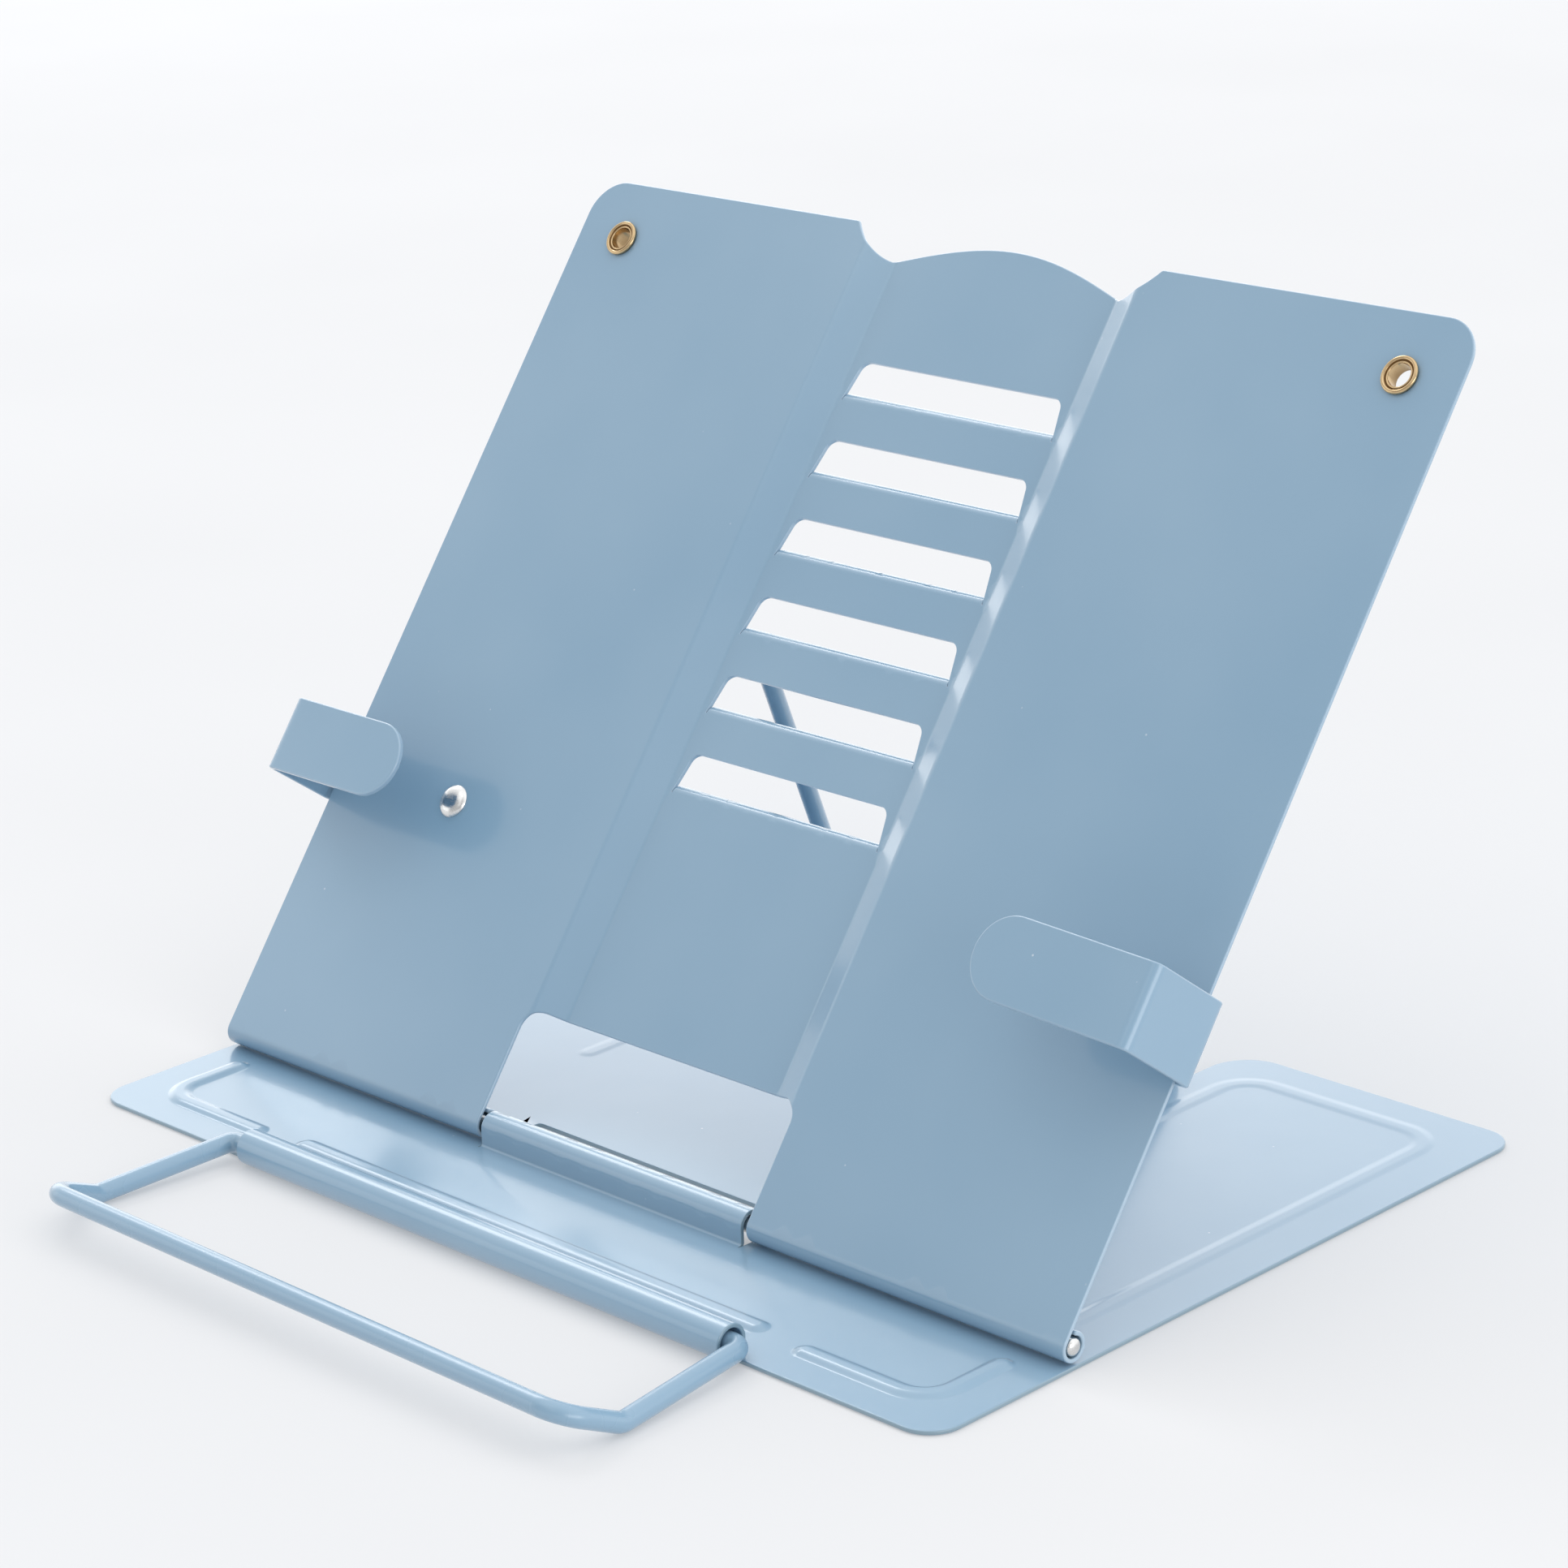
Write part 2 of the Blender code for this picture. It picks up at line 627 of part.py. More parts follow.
def back_plate(plate_axis):
    """The plate with its trough, slots, tabs, holes and knuckles."""
    top = PLATE_LENGTH + OVERRUN
    middle = (top - OVERRUN) / 2
    section = ribbon(trough_section(), SHEET, lambda distance: top - middle, flat, middle)
    plate = add_mesh("back_plate", section, plate_axis)
    depth = TROUGH_DEPTH + KNUCKLE_R + OVERRUN
    combine(plate, "INTERSECT", "plate_outline_cut", [prism(plate_outline(), -depth, depth, upright)])
    cuts = [slot_cut(number) for number in range(SLOT_COUNT)]
    for side in (-1, 1):
        cuts.append(round_cut(side * EYELET_X, EYELET_UP, EYELET_BORE_R + EYELET_WALL + EYELET_GAP))
        cuts.append(round_cut(side * RIVET_X, ARM_UP, RIVET_R + RIVET_GAP))
    combine(plate, "DIFFERENCE", "plate_cuts", cuts)
    additions = [tab(number) for number in range(SLOT_COUNT)] + [plate_knuckle(-1), plate_knuckle(1)]
    combine(plate, "UNION", "plate_tabs_and_knuckles", additions)
    finish(plate, POWDER_COAT)


# The wires


def prop_seat():
    """Where the prop's bar rests, as (backwards, up) in the plate's frame: on the floor's back, under a tab."""
    clear = PROP_R + REST_GAP
    back = FLOOR_MIDDLE + SHEET / 2 + clear
    inner_r = TAB_BEND_R - SHEET / 2
    bend_centre = (FLOOR_MIDDLE + TAB_BEND_R, slot_bottom(TAB_IN_USE))
    face_back = bend_centre[0] - inner_r * math.cos(TAB_BEND)
    face_up = bend_centre[1] + inner_r * math.sin(TAB_BEND)
    face_at_bar = face_up + (back - face_back) / math.tan(TAB_BEND)
    return back, face_at_bar - clear / math.sin(TAB_BEND)


def prop_wire(root):
    """The prop: both feet turn in the rear hem, and the bar stands under a tab of the back plate."""
    back, up = prop_seat()
    lean = math.pi / 2 - PLATE_ANGLE
    bar_y = up * math.sin(lean) + back * math.cos(lean)
    bar_z = HINGE_Z + up * math.cos(lean) - back * math.sin(lean)
    length = math.hypot(REAR_HEM_Y - bar_y, bar_z - REAR_HEM_R)
    tilt = math.atan2(REAR_HEM_Y - bar_y, bar_z - REAR_HEM_R)
    axis = add_empty("prop_axis", root, (0.0, REAR_HEM_Y, REAR_HEM_R), tilt)
    half = [
        (REAR_HEM_LENGTH / 2 - PROP_INSERT, 0.0, 0.0, 0.0),
        (PROP_FOOT_X, 0.0, 0.0, PROP_FOOT_BEND_R),
        (PROP_TOP_WIDTH / 2, 0.0, length, PROP_TOP_BEND_R),
    ]
    prop = add_wire("prop_wire", bent(mirrored(half)), PROP_R, axis)
    finish(prop, POWDER_COAT)


def bail_tilt():
    """How far the bail's arms dip from their hem to the table."""
    return math.asin((FRONT_HEM_R - BAIL_R) / BAIL_ARM)


def bail_wire(root):
    """The bail: both ends turn in the front hem, its arms reach down to the table, and its bar is raised in front."""
    axis = add_empty("bail_axis", root, (0.0, -BASE_FRONT, FRONT_HEM_R), bail_tilt())
    bar_y = -BAIL_ARM - BAIL_RISER * math.cos(BAIL_RISER_TURN)
    half = [
        (FRONT_HEM_LENGTH / 2 - BAIL_INSERT, 0.0, 0.0, 0.0),
        (BAIL_FOOT_X, 0.0, 0.0, BAIL_FOOT_BEND_R),
        (BAIL_BEND_WIDTH / 2, -BAIL_ARM, 0.0, BAIL_BEND_R),
        (BAIL_BAR_WIDTH / 2, bar_y, BAIL_RISER * math.sin(BAIL_RISER_TURN), BAIL_BAR_BEND_R),
    ]
    bail = add_wire("bail_wire", bent(mirrored(half)), BAIL_R, axis)
    finish(bail, POWDER_COAT)


# The arms and what they slide on


def strip_middle():
    """Y of the middle of an arm's rear strip, in the plate's frame."""
    return WING_BACK + REST_GAP + ARM_SHEET / 2


def arm(name, side, flange_length, plate_axis):
    """A strip bent round the plate's edge: a slotted strip behind the wing, a wall and a round-ended flange."""
    wall = PLATE_WIDTH / 2 + ARM_EDGE_GAP + ARM_SHEET / 2
    front = WING_FRONT - ARM_STAND_OFF + ARM_SHEET / 2
    radius = ARM_WIDTH / 2
    tip = wall + ARM_SHEET / 2 - flange_length
    rear_end = RIVET_X - ARM_TRAVEL - radius
    reaches = [radius * (1 - share) for share in ARM_TIP_SHARES]
    corners = [(rear_end + reach, strip_middle(), 0.0) for reach in reversed(reaches)]
    corners += [(wall, strip_middle(), ARM_REAR_BEND_R), (wall, front, ARM_FRONT_BEND_R)]
    corners += [(tip + reach, front, 0.0) for reach in reaches]
    path = [(side * x, y) for x, y in rounded(corners, closed=False)]
    length = sum(math.dist(first, second) for first, second in zip(path, path[1:]))

    def half_width(distance):
        to_end = min(distance, length - distance) + radius * (1 - ARM_TIP_SHARES[-1])
        short = max(radius - to_end, 0.0)
        return math.sqrt(radius**2 - short**2)

    piece = add_mesh(name, ribbon(path, ARM_SHEET, half_width, flat), plate_axis)
    piece.location = (0.0, 0.0, ARM_UP)
    slot_r = RIVET_R + RIVET_GAP
    outline = arc((side * RIVET_X, 0.0), slot_r, -side * math.pi / 2, math.pi)
    outline += arc((side * (RIVET_X - ARM_TRAVEL), 0.0), slot_r, side * math.pi / 2, math.pi)
    body = prism(outline, strip_middle() - OVERRUN, strip_middle() + OVERRUN, upright)
    combine(piece, "DIFFERENCE", name + "_slot_cut", [body])
    tool = piece.modifiers[0].object
    tool.location = piece.location
    finish(piece, POWDER_COAT)


def dome(radius, base, height):
    """Profile points over a low dome, from its rim to its middle. A negative height faces forward."""
    points = []
    for index in range(DOME_STEPS):
        angle = math.pi / 2 * index / DOME_STEPS
        points.append((radius * math.cos(angle), base + height * math.sin(angle)))
    return [*points, (0.0, base + height)]


def arm_rivet(name, side, plate_axis):
    """The rivet through a wing and the arm's slot, headed over a washer behind."""
    head = WING_FRONT - REST_GAP
    tail = strip_middle() + ARM_SHEET / 2 + REST_GAP + ARM_WASHER_THICKNESS + REST_GAP
    profile = list(reversed(dome(RIVET_HEAD_R, head, -RIVET_HEAD_HEIGHT)))
    profile += [(RIVET_R, head), (RIVET_R, tail)]
    profile += dome(RIVET_TAIL_R, tail, RIVET_TAIL_HEIGHT)
    rivet = add_mesh(name, lathe(profile, upright), plate_axis)
    rivet.location = (side * RIVET_X, 0.0, ARM_UP)
    finish(rivet, BARE_STEEL)


def washer(name, place, inner, outer, low, thickness, coat, plate_axis):
    """A flat ring, its front face at low in the plate's frame."""
    profile = [(inner, low), (outer, low), (outer, low + thickness), (inner, low + thickness)]
    ring = add_mesh(name, lathe(profile, upright), plate_axis)
    ring.location = place
    finish(ring, coat)


def eyelet(name, side, plate_axis):
    """A brass eyelet: a round rim in front, a tube through the wing and a curl behind its washer."""
    barrel = EYELET_BORE_R + EYELET_WALL
    rim = WING_FRONT - EYELET_GAP
    curl = WING_BACK + EYELET_GAP + EYELET_WASHER_THICKNESS + EYELET_GAP
    middle_r = (EYELET_BORE_R + EYELET_RIM_R) / 2
    half = (EYELET_RIM_R - EYELET_BORE_R) / 2
    profile = []
    for index in range(DOME_STEPS + 1):
        angle = math.pi * index / DOME_STEPS
        profile.append((middle_r - half * math.cos(angle), rim - EYELET_RIM_HEIGHT * math.sin(angle)))
    profile += [(barrel, rim), (barrel, curl), (EYELET_CURL_R, curl)]
    profile += [(EYELET_CURL_R, curl + EYELET_CURL_HEIGHT / 2), (barrel, curl + EYELET_CURL_HEIGHT)]
    profile.append((EYELET_BORE_R, curl + EYELET_CURL_HEIGHT))
    ring = add_mesh(name, lathe(profile, upright), plate_axis)
    ring.location = (side * EYELET_X, 0.0, EYELET_UP)
    finish(ring, BRASS)


def main():
    for thing in list(bpy.data.objects):
        bpy.data.objects.remove(thing, do_unlink=True)
    bail_reach = BAIL_ARM * math.cos(bail_tilt()) + BAIL_RISER * math.cos(BAIL_RISER_TURN - bail_tilt())
    bail_front = BASE_FRONT + bail_reach + BAIL_R
    root = add_empty("stand", None, (0.0, (bail_front - BASE_BACK) / 2, 0.0))
    plate_axis = add_empty("plate_axis", root, (0.0, 0.0, HINGE_Z), PLATE_ANGLE - math.pi / 2)
    base_plate(root)
    hinge_pin(root)
    back_plate(plate_axis)
    prop_wire(root)
    bail_wire(root)
    strip_back = strip_middle() + ARM_SHEET / 2
    for word, side, flange_length in (("left", -1, LEFT_FLANGE_LENGTH), ("right", 1, RIGHT_FLANGE_LENGTH)):
        arm("arm_" + word, side, flange_length, plate_axis)
        arm_rivet("arm_rivet_" + word, side, plate_axis)
        washer(
            "arm_washer_" + word,
            (side * RIVET_X, 0.0, ARM_UP),
            RIVET_R + RIVET_GAP,
            ARM_WASHER_R,
            strip_back + REST_GAP,
            ARM_WASHER_THICKNESS,
            BARE_STEEL,
            plate_axis,
        )
        eyelet("eyelet_" + word, side, plate_axis)
        washer(
            "eyelet_washer_" + word,
            (side * EYELET_X, 0.0, EYELET_UP),
            EYELET_BORE_R + EYELET_WALL + EYELET_GAP,
            EYELET_WASHER_R,
            WING_BACK + EYELET_GAP,
            EYELET_WASHER_THICKNESS,
            BRASS,
            plate_axis,
        )


main()
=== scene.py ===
# A folding book stand of painted sheet steel and wire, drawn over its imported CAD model.
# Sizes are millimetres from the hinge's axis: X across, Y backwards, Z up from the table. The plate's own
# frame has X across, Y backwards and Z up along the plate. Meshes are made in metres at the end.
import json
import math

import bpy
import numpy as np
from mathutils import Matrix, Vector
from mathutils.geometry import delaunay_2d_cdt

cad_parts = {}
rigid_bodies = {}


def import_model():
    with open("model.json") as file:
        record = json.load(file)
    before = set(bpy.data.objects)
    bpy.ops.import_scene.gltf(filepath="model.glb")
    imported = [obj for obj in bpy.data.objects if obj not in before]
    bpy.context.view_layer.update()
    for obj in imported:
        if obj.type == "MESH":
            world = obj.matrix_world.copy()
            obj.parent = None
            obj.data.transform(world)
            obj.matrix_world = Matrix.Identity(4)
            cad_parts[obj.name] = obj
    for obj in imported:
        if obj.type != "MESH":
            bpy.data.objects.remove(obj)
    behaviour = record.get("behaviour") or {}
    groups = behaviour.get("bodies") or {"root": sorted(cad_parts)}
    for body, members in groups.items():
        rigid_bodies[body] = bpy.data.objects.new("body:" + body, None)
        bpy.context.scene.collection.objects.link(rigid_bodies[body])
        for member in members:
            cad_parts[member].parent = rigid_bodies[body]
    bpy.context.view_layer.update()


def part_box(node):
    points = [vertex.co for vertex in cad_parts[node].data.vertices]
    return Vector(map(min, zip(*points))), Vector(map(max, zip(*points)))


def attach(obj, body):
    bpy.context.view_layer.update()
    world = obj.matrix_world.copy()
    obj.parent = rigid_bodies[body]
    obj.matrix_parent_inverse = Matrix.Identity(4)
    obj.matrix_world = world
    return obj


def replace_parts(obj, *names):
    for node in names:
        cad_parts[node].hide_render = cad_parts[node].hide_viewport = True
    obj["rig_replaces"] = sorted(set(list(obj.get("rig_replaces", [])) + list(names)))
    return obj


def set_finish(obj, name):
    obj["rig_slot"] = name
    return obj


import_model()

MM = 0.001

# Sheet and hinge
SHEET = 0.8
SHEET_EDGE_R = 0.3
PIN_R = 1.6
PIN_END_R = 1.0
PIN_OUT = 0.5
KNUCKLE_R = 2.7
KNUCKLE_MID_R = KNUCKLE_R - SHEET / 2
HINGE_Z = 3.8
PLATE_ROLL = math.radians(300)
KNUCKLE_ROLL = math.radians(240)
NECK_BEND_R = 0.8

# Base
BASE_X = 105.4
BASE_FRONT = -33.5
BASE_BACK = 118.3
BASE_CORNER_R = 6.3
NOTCH_X = 42.6
NOTCH_FRONT = 101.0
NOTCH_LIP_R = 8.9
NOTCH_INNER_R = 3.0
WINDOW_X = 33.0
WINDOW_BACK = 11.0
WINDOW_CORNER_R = 1.5
TONGUE_CORNER_R = 1.2
FRONT_HEM_X = 60.9
FRONT_HEM_MIDDLE = 0.9
FRONT_HEM_R = 3.25
REAR_HEM_X = 35.5
REAR_HEM_R = 3.2
REAR_HEM_Y = 103.5
HEM_ROLL = math.radians(305)
HEM_CORNER_R = 0.6
FRONT_HEM_FOOT_R = 0.5
REAR_HEM_FOOT_R = 1.2
KERF = 0.14
KERF_EDGE_R = 0.14
KERF_LOW = -0.02

# Beads pressed up in the base
BEAD_HALF = 2.45
BEAD_LINES = 21
BEAD_LINES_HALF = 2.7
BEAD_TOP_HALF = 0.5
BEAD_HEIGHT = 0.66
REAR_BEAD_HEIGHT = 0.09
FRONT_BEAD_BEND_R = 6.5
REAR_BEAD_BEND_R = 7.0
MIDDLE_BEAD_Y = -23.1
MIDDLE_BEAD_X = 57.0
FRONT_BEAD_Y = -24.55
FRONT_BEAD_START_X = 69.4
FRONT_BEAD_X = 96.1
FRONT_BEAD_END_Y = -7.5
REAR_BEAD_X = 94.5
REAR_BEAD_START_Y = 6.5
REAR_BEAD_Y = 109.2
NOTCH_BEAD_X = 50.4
NOTCH_BEAD_END_Y = 40.0

# Back plate
PLATE_ANGLE = math.radians(53.53)
PLATE_X = 105.0
PLATE_LENGTH = 179.2
PLATE_CORNER_R = 7.4
WING_MID = -KNUCKLE_MID_R
FLOOR_MID = 0.9
TROUGH_FLOOR_X = 26.6
TROUGH_MOUTH_X = 32.6
TROUGH_BEND_R = 2.0
CUTAWAY_X = 34.0
CUTAWAY_UP = 22.0
CUTAWAY_R = 4.0
FOOT_CORNER_R = 0.4
TOP_EDGE_END_X = 36.3
TOP_EDGE_END_R = 0.8
VALLEY_X = 27.2
VALLEY_DEPTH = 5.85
SLOT_COUNT = 6
SLOT_TOP = 153.7
SLOT_PITCH = 15.67
SLOT_HEIGHT = 7.9
SLOT_TOP_X = 23.9
SLOT_BOTTOM_X = 25.42
SLOT_CORNER_R = 2.2
TAB_BEND_R = 1.4
TAB_BEND = math.radians(81.5)
TAB_LENGTH = 7.2

# Wires
WIRE_END_R = 0.5
PROP_R = 1.75
PROP_INSERT_X = 23.5
PROP_FOOT_X = 38.9
PROP_BAR_X = 22.6
# PROP_SEAT is the bar's middle under its tab, backwards and up in the plate's frame
PROP_SEAT = (3.35, 97.91)
PROP_FOOT_BEND_R = 2.4
PROP_TOP_BEND_R = 4.5
BAIL_R = 1.8
BAIL_INSERT_X = 48.4
BAIL_FOOT_X = 64.2
BAIL_ARM = 29.0
BAIL_RISER = 12.1
BAIL_RISER_TURN = math.radians(27.2)
BAIL_BEND_X = 66.7
BAIL_BAR_X = 64.9
BAIL_FOOT_BEND_R = 2.4
BAIL_BEND_R = 4.0
BAIL_BAR_BEND_R = 5.5

# Side arms and their rivets
ARM_SHEET = 1.2
ARM_EDGE_R = 0.35
ARM_FULLER = 0.004
ARM_UP = 53.5
ARM_REAR_Y = -1.0
ARM_REAR_END_X = 41.0
ARM_REAR_BEND_R = 1.4
ARM_FRONT_BEND_R = 1.4
ARM_TRAVEL = 25.0
ARM_SLOT_HALF = 1.9
RIVET_X = 73.0
RIVET_R = 1.5
# For each arm: its side, half width, the outer wall's middle X, the front flange's middle Y, the flange tip's X, and
# how far the hand-bent strip's middle line has strayed up the plate at the wall and at the tip
ARMS = {
    "left": (-1, 7.22, 107.2, -17.7, 74.6, 0.65, 0.7),
    "right": (1, 7.4, 106.8, -20.3, 71.3, -1.4, -0.3),
}
RIVET_HEAD_R = 3.2
RIVET_HEAD = 1.3
RIVET_TAIL_R = 2.8
RIVET_TAIL = 1.0
SLIDE_GAP = 0.3
ARM_WASHER_R = 4.5
ARM_WASHER = 0.6
WASHER_CORNER_R = 0.12

# Eyelets
EYELET_X = 92.9
EYELET_UP = 167.6
EYELET_BORE_R = 2.15
EYELET_WALL = 0.4
EYELET_RIM_R = 3.5
EYELET_RIM = 0.9
EYELET_CREST_R = 0.4
EYELET_LIP_R = 0.2
EYELET_LIP_OUT = 0.45
EYELET_GROOVE_R = 2.63
EYELET_GROOVE_SHADE_HALF = 0.2
EYELET_CURL_R = 3.4
EYELET_CURL = 0.6
EYELET_WASHER_R = 4.4
EYELET_WASHER = 0.5
EYELET_LONGER = {"left": 2.2, "right": 0.8}

# How finely things are divided: sheet along plain edges, rolled edges and cuts; between its edges where it is flat,
# on the trough's slopes, and round the hems, the hinge's tongue, the plate's foot and the tabs; and wire
EDGE_STEP = 1.4
ROLL_STEP = 0.35
CUT_STEP = 1.2
FINE_STEP = 0.25
FLAT_STEP = 6.0
SLOPE_STEP = 3.0
FOOT_X_STEP = 5.0
HEM_STEP = 0.37
TONGUE_STEP = 0.22
FOOT_STEP = 0.3
TAB_STEP = 0.14
WIRE_STEP = 1.6
WIRE_SIDES = 32
# The least distance of an inner point from an edge, and a hair's gap between faces that would touch
INNER_CLEAR = 0.22
HAIR = 0.02

# Finishes: linear colours, and noise scales per metre
COAT_COLOUR = (0.203, 0.357, 0.494)
# Painted edge light: a pale highlight painted on the rims of the plate and arms, and a dark shade painted on the
# base's rims
PLATE_EDGE_HIGHLIGHT_COLOUR = (0.80, 0.90, 0.98)
BASE_EDGE_SHADE_COLOUR = (0.17, 0.24, 0.26)
COAT_LOW_TINT = (0.90, 0.93, 0.96)
COAT_HIGH_TINT = (0.85, 0.93, 1.0)
DUST_COLOUR = (0.86, 0.90, 0.92)
STEEL_COLOUR = (0.78, 0.78, 0.77)
STEEL_TARNISH = (0.45, 0.44, 0.43)
BRASS_COLOUR = (0.63, 0.46, 0.26)
BRASS_TARNISH_AND_SHADE = (0.17, 0.085, 0.025)
COAT_BUMP = 0.0001
COAT_IOR = 1.55
DRIFT_SCALE = 14.0
PATCH_SCALE = 95.0
PEEL_SCALE = 620.0
GRAIN_SCALE = 2600.0
DUST_SCALE = 170.0
RUB_SCALE = 420.0
FINE_RUB_SCALE = 2400.0
SCRATCH_SCALE = (400.0, 5200.0, 5200.0)

# The room: how bright it is on its dark and bright sides, which side is bright, and the wall as the camera sees it
ROOM_DARK = 0.575
ROOM_BRIGHT = 1.32
ROOM_BRIGHT_SIDE = (-0.05, 1.0, 0.15)
ROOM_COLOUR = (0.985, 0.99, 1.0)
WALL_LEVEL = 0.90
TABLE_REACH = 6.0
TABLE_LOW = -0.0001
TABLE_GLOW = 0.31
TABLE_COLOURS = ((0.475, 0.48, 0.49), (0.49, 0.495, 0.505))
TABLE_CLOUD_SCALE = 6.0
# Each lamp: its name, its place and the place that it faces in metres, its width and height, and its power
LAMPS = [
    ("window", (-2.7, 1.24, 2.66), (0, 0, 0.02), (1.8, 0.7), 15.0),
    ("ceiling", (-0.2, -1.4, 3.0), (0, 0, 0), (2.0, 2.0), 6.0),
    ("doorway", (0.47, -1.52, 1.22), (0, 0, 0.05), (0.8, 0.8), 0.8),
    ("card", (-0.8, -0.65, 0.27), (0, 0, 0.06), (0.7, 0.5), 0.75),
    ("curtain", (-1.52, 1.14, 0.41), (0, 0, 0.05), (2.2, 0.82), 3.6),
    ("door", (2.2, -0.5, 0.5), (0, 0, 0.05), (1.8, 0.9), 10.0),
]

# The camera, from the photo's edges: position in millimetres from the hinge's axis
CAMERA_PLACE = (527.18, -478.69, 314.97)
CAMERA_YAW = math.radians(45.415)
CAMERA_PITCH = math.radians(19.409)
CAMERA_ROLL = math.radians(-2.039)
CAMERA_LENS = 102.305
CAMERA_SHIFT = (0.006257, 0.035424)
SENSOR = 36.0

# The hinge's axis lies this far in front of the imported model's middle.
HINGE_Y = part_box("base_plate")[1].y / MM - BASE_BACK


# Paths and outlines


def unit(vectors):
    """Each vector divided by its length."""
    return vectors / np.linalg.norm(vectors, axis=-1, keepdims=True)


def corner_arc(before, corner, after, radius, step=math.radians(7)):
    """The arc of this radius that rounds a corner, in the plane or in space: its centre lies on the corner's
    bisector, and the arc turns from the first side's foot with cosine and sine."""
    back, forward = unit(before - corner), unit(after - corner)
    half = math.acos(np.clip(back @ forward, -1, 1)) / 2
    centre = corner + unit(back + forward) * radius / math.sin(half)
    foot = corner + back * radius / math.tan(half) - centre
    turn = np.linspace(0, math.pi - 2 * half, max(3, math.ceil((math.pi - 2 * half) / step) + 1))[:, None]
    return centre + foot * np.cos(turn) - back * radius * np.sin(turn)


def bent_path(corners, radii):
    """Straight lines through the corners, with an arc at each inner one."""
    corners = np.array(corners, float)
    arcs = [corner_arc(*corners[i : i + 3], radius) for i, radius in enumerate(radii)]
    return np.concatenate([corners[:1], *arcs, corners[-1:]])


def rounded_loop(corners):
    """A closed outline through (x, y, radius) corners."""
    corners = np.array(corners, float)
    places = corners[:, :2]
    after = np.roll(places, -1, 0)
    pieces = [
        places[i : i + 1] if radius == 0 else corner_arc(places[i - 1], places[i], after[i], radius)
        for i, radius in enumerate(corners[:, 2])
    ]
    return np.concatenate(pieces)


def mirrored(corners):
    """These (x, ...) corners and then their mirror images, in reverse."""
    return corners + [(-corner[0], *corner[1:]) for corner in reversed(corners)]


def divided(points, spacing, closed=False):
    """The same path with points added evenly on each side, so that none are further apart than the spacing, which
    may be a function of the side's middle."""
    ends = np.roll(points, -1, 0) if closed else points[1:]
    starts = points if closed else points[:-1]
    wanted = spacing((starts + ends) / 2) if callable(spacing) else spacing
    counts = np.maximum(1, np.ceil(np.linalg.norm(ends - starts, axis=1) / wanted - 1e-6)).astype(int)
    side = np.repeat(np.arange(len(starts)), counts)
    step = np.arange(len(side)) - np.repeat(np.cumsum(counts) - counts, counts)
    share = (step / counts[side])[:, None]
    added = starts[side] * (1 - share) + ends[side] * share
    return added if closed else np.concatenate([added, points[-1:]])


def area(loop):
    """Half the sum of the cross products of following corners: positive where the loop runs anticlockwise."""
    following = np.roll(loop, -1, 0)
    return (loop[:, 0] * following[:, 1] - loop[:, 1] * following[:, 0]).sum() / 2


def outward(loop):
    """For each corner of a loop with its material on the left, the vector to the right that offsets both its sides."""
    along = unit(np.roll(loop, -1, 0) - loop)
    after = np.stack([along[:, 1], -along[:, 0]], 1)
    before = np.roll(after, 1, 0)
    return (before + after) / (1 + (before * after).sum(1, keepdims=True))


def distance_to(points, path):
    """Each point's distance to the nearest place on a path."""
    starts, ends = path[:-1], path[1:]
    along = ends - starts
    nearest = np.full(len(points), np.inf)
    for part in np.array_split(np.arange(len(points)), max(1, len(points) * len(starts) // 4_000_000 + 1)):
        offset = points[part][:, None] - starts
        share = np.clip((offset * along).sum(2) / (along**2).sum(1), 0, 1)
        nearest[part] = np.linalg.norm(offset - share[..., None] * along, axis=2).min(1)
    return nearest


def inside(points, loop):
    """Whether each point lies inside a loop: an odd number of its sides cross the line that runs right from it."""
    starts, ends = loop, np.roll(loop, -1, 0)
    found = np.zeros(len(points), bool)
    for part in np.array_split(np.arange(len(points)), max(1, len(points) * len(starts) // 4_000_000 + 1)):
        x, y = points[part].T[..., None]
        crosses = (starts[:, 1] > y) != (ends[:, 1] > y)
        rise = np.where(ends[:, 1] == starts[:, 1], 1, ends[:, 1] - starts[:, 1])
        at = starts[:, 0] + (y - starts[:, 1]) * (ends[:, 0] - starts[:, 0]) / rise
        found[part] = (crosses & (x < at)).sum(1) % 2 == 1
    return found


def within(points, loops):
    """Whether each point lies inside the first loop and outside the others."""
    return inside(points, loops[0]) & ~np.any([inside(points, loop) for loop in loops[1:]], axis=0)


def lattice(x_places, y_places):
    """Every pair of these x and y places, as points."""
    x, y = np.meshgrid(x_places, y_places)
    return np.stack([x.ravel(), y.ravel()], 1)


def both_sides(values):
    """These values and their negatives, in rising order."""
    return np.concatenate([-values[::-1], values])


# Meshes


def add_object(name, data):
    """An object at the origin, in the scene."""
    thing = bpy.data.objects.new(name, data)
    bpy.context.scene.collection.objects.link(thing)
    return thing


def add_piece(name, points, faces, body, node, slot, normals=None, marks=None):
    """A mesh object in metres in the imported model's frame, smooth all over, that stands for a CAD node."""
    mesh = bpy.data.meshes.new(name)
    mesh.from_pydata(points * MM, [], faces)
    mesh.shade_smooth()
    for label, values in (marks or {}).items():
        mesh.attributes.new(label, "FLOAT", "POINT").data.foreach_set("value", values.astype(np.float32))
    if normals is not None:
        mesh.normals_split_custom_set_from_vertices(unit(normals))
    piece = add_object(name, mesh)
    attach(piece, body)
    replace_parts(piece, node)
    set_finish(piece, slot)
    return piece


def base_place(points):
    """From the base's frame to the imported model's."""
    return points + [0, HINGE_Y, 0]


def plate_place(points):
    """From the plate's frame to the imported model's: a turn about the hinge's axis."""
    x, back, up = points.T
    cosine, sine = math.cos(PLATE_ANGLE), math.sin(PLATE_ANGLE)
    return np.stack([x, HINGE_Y + back * sine + up * cosine, HINGE_Z - back * cosine + up * sine], 1)


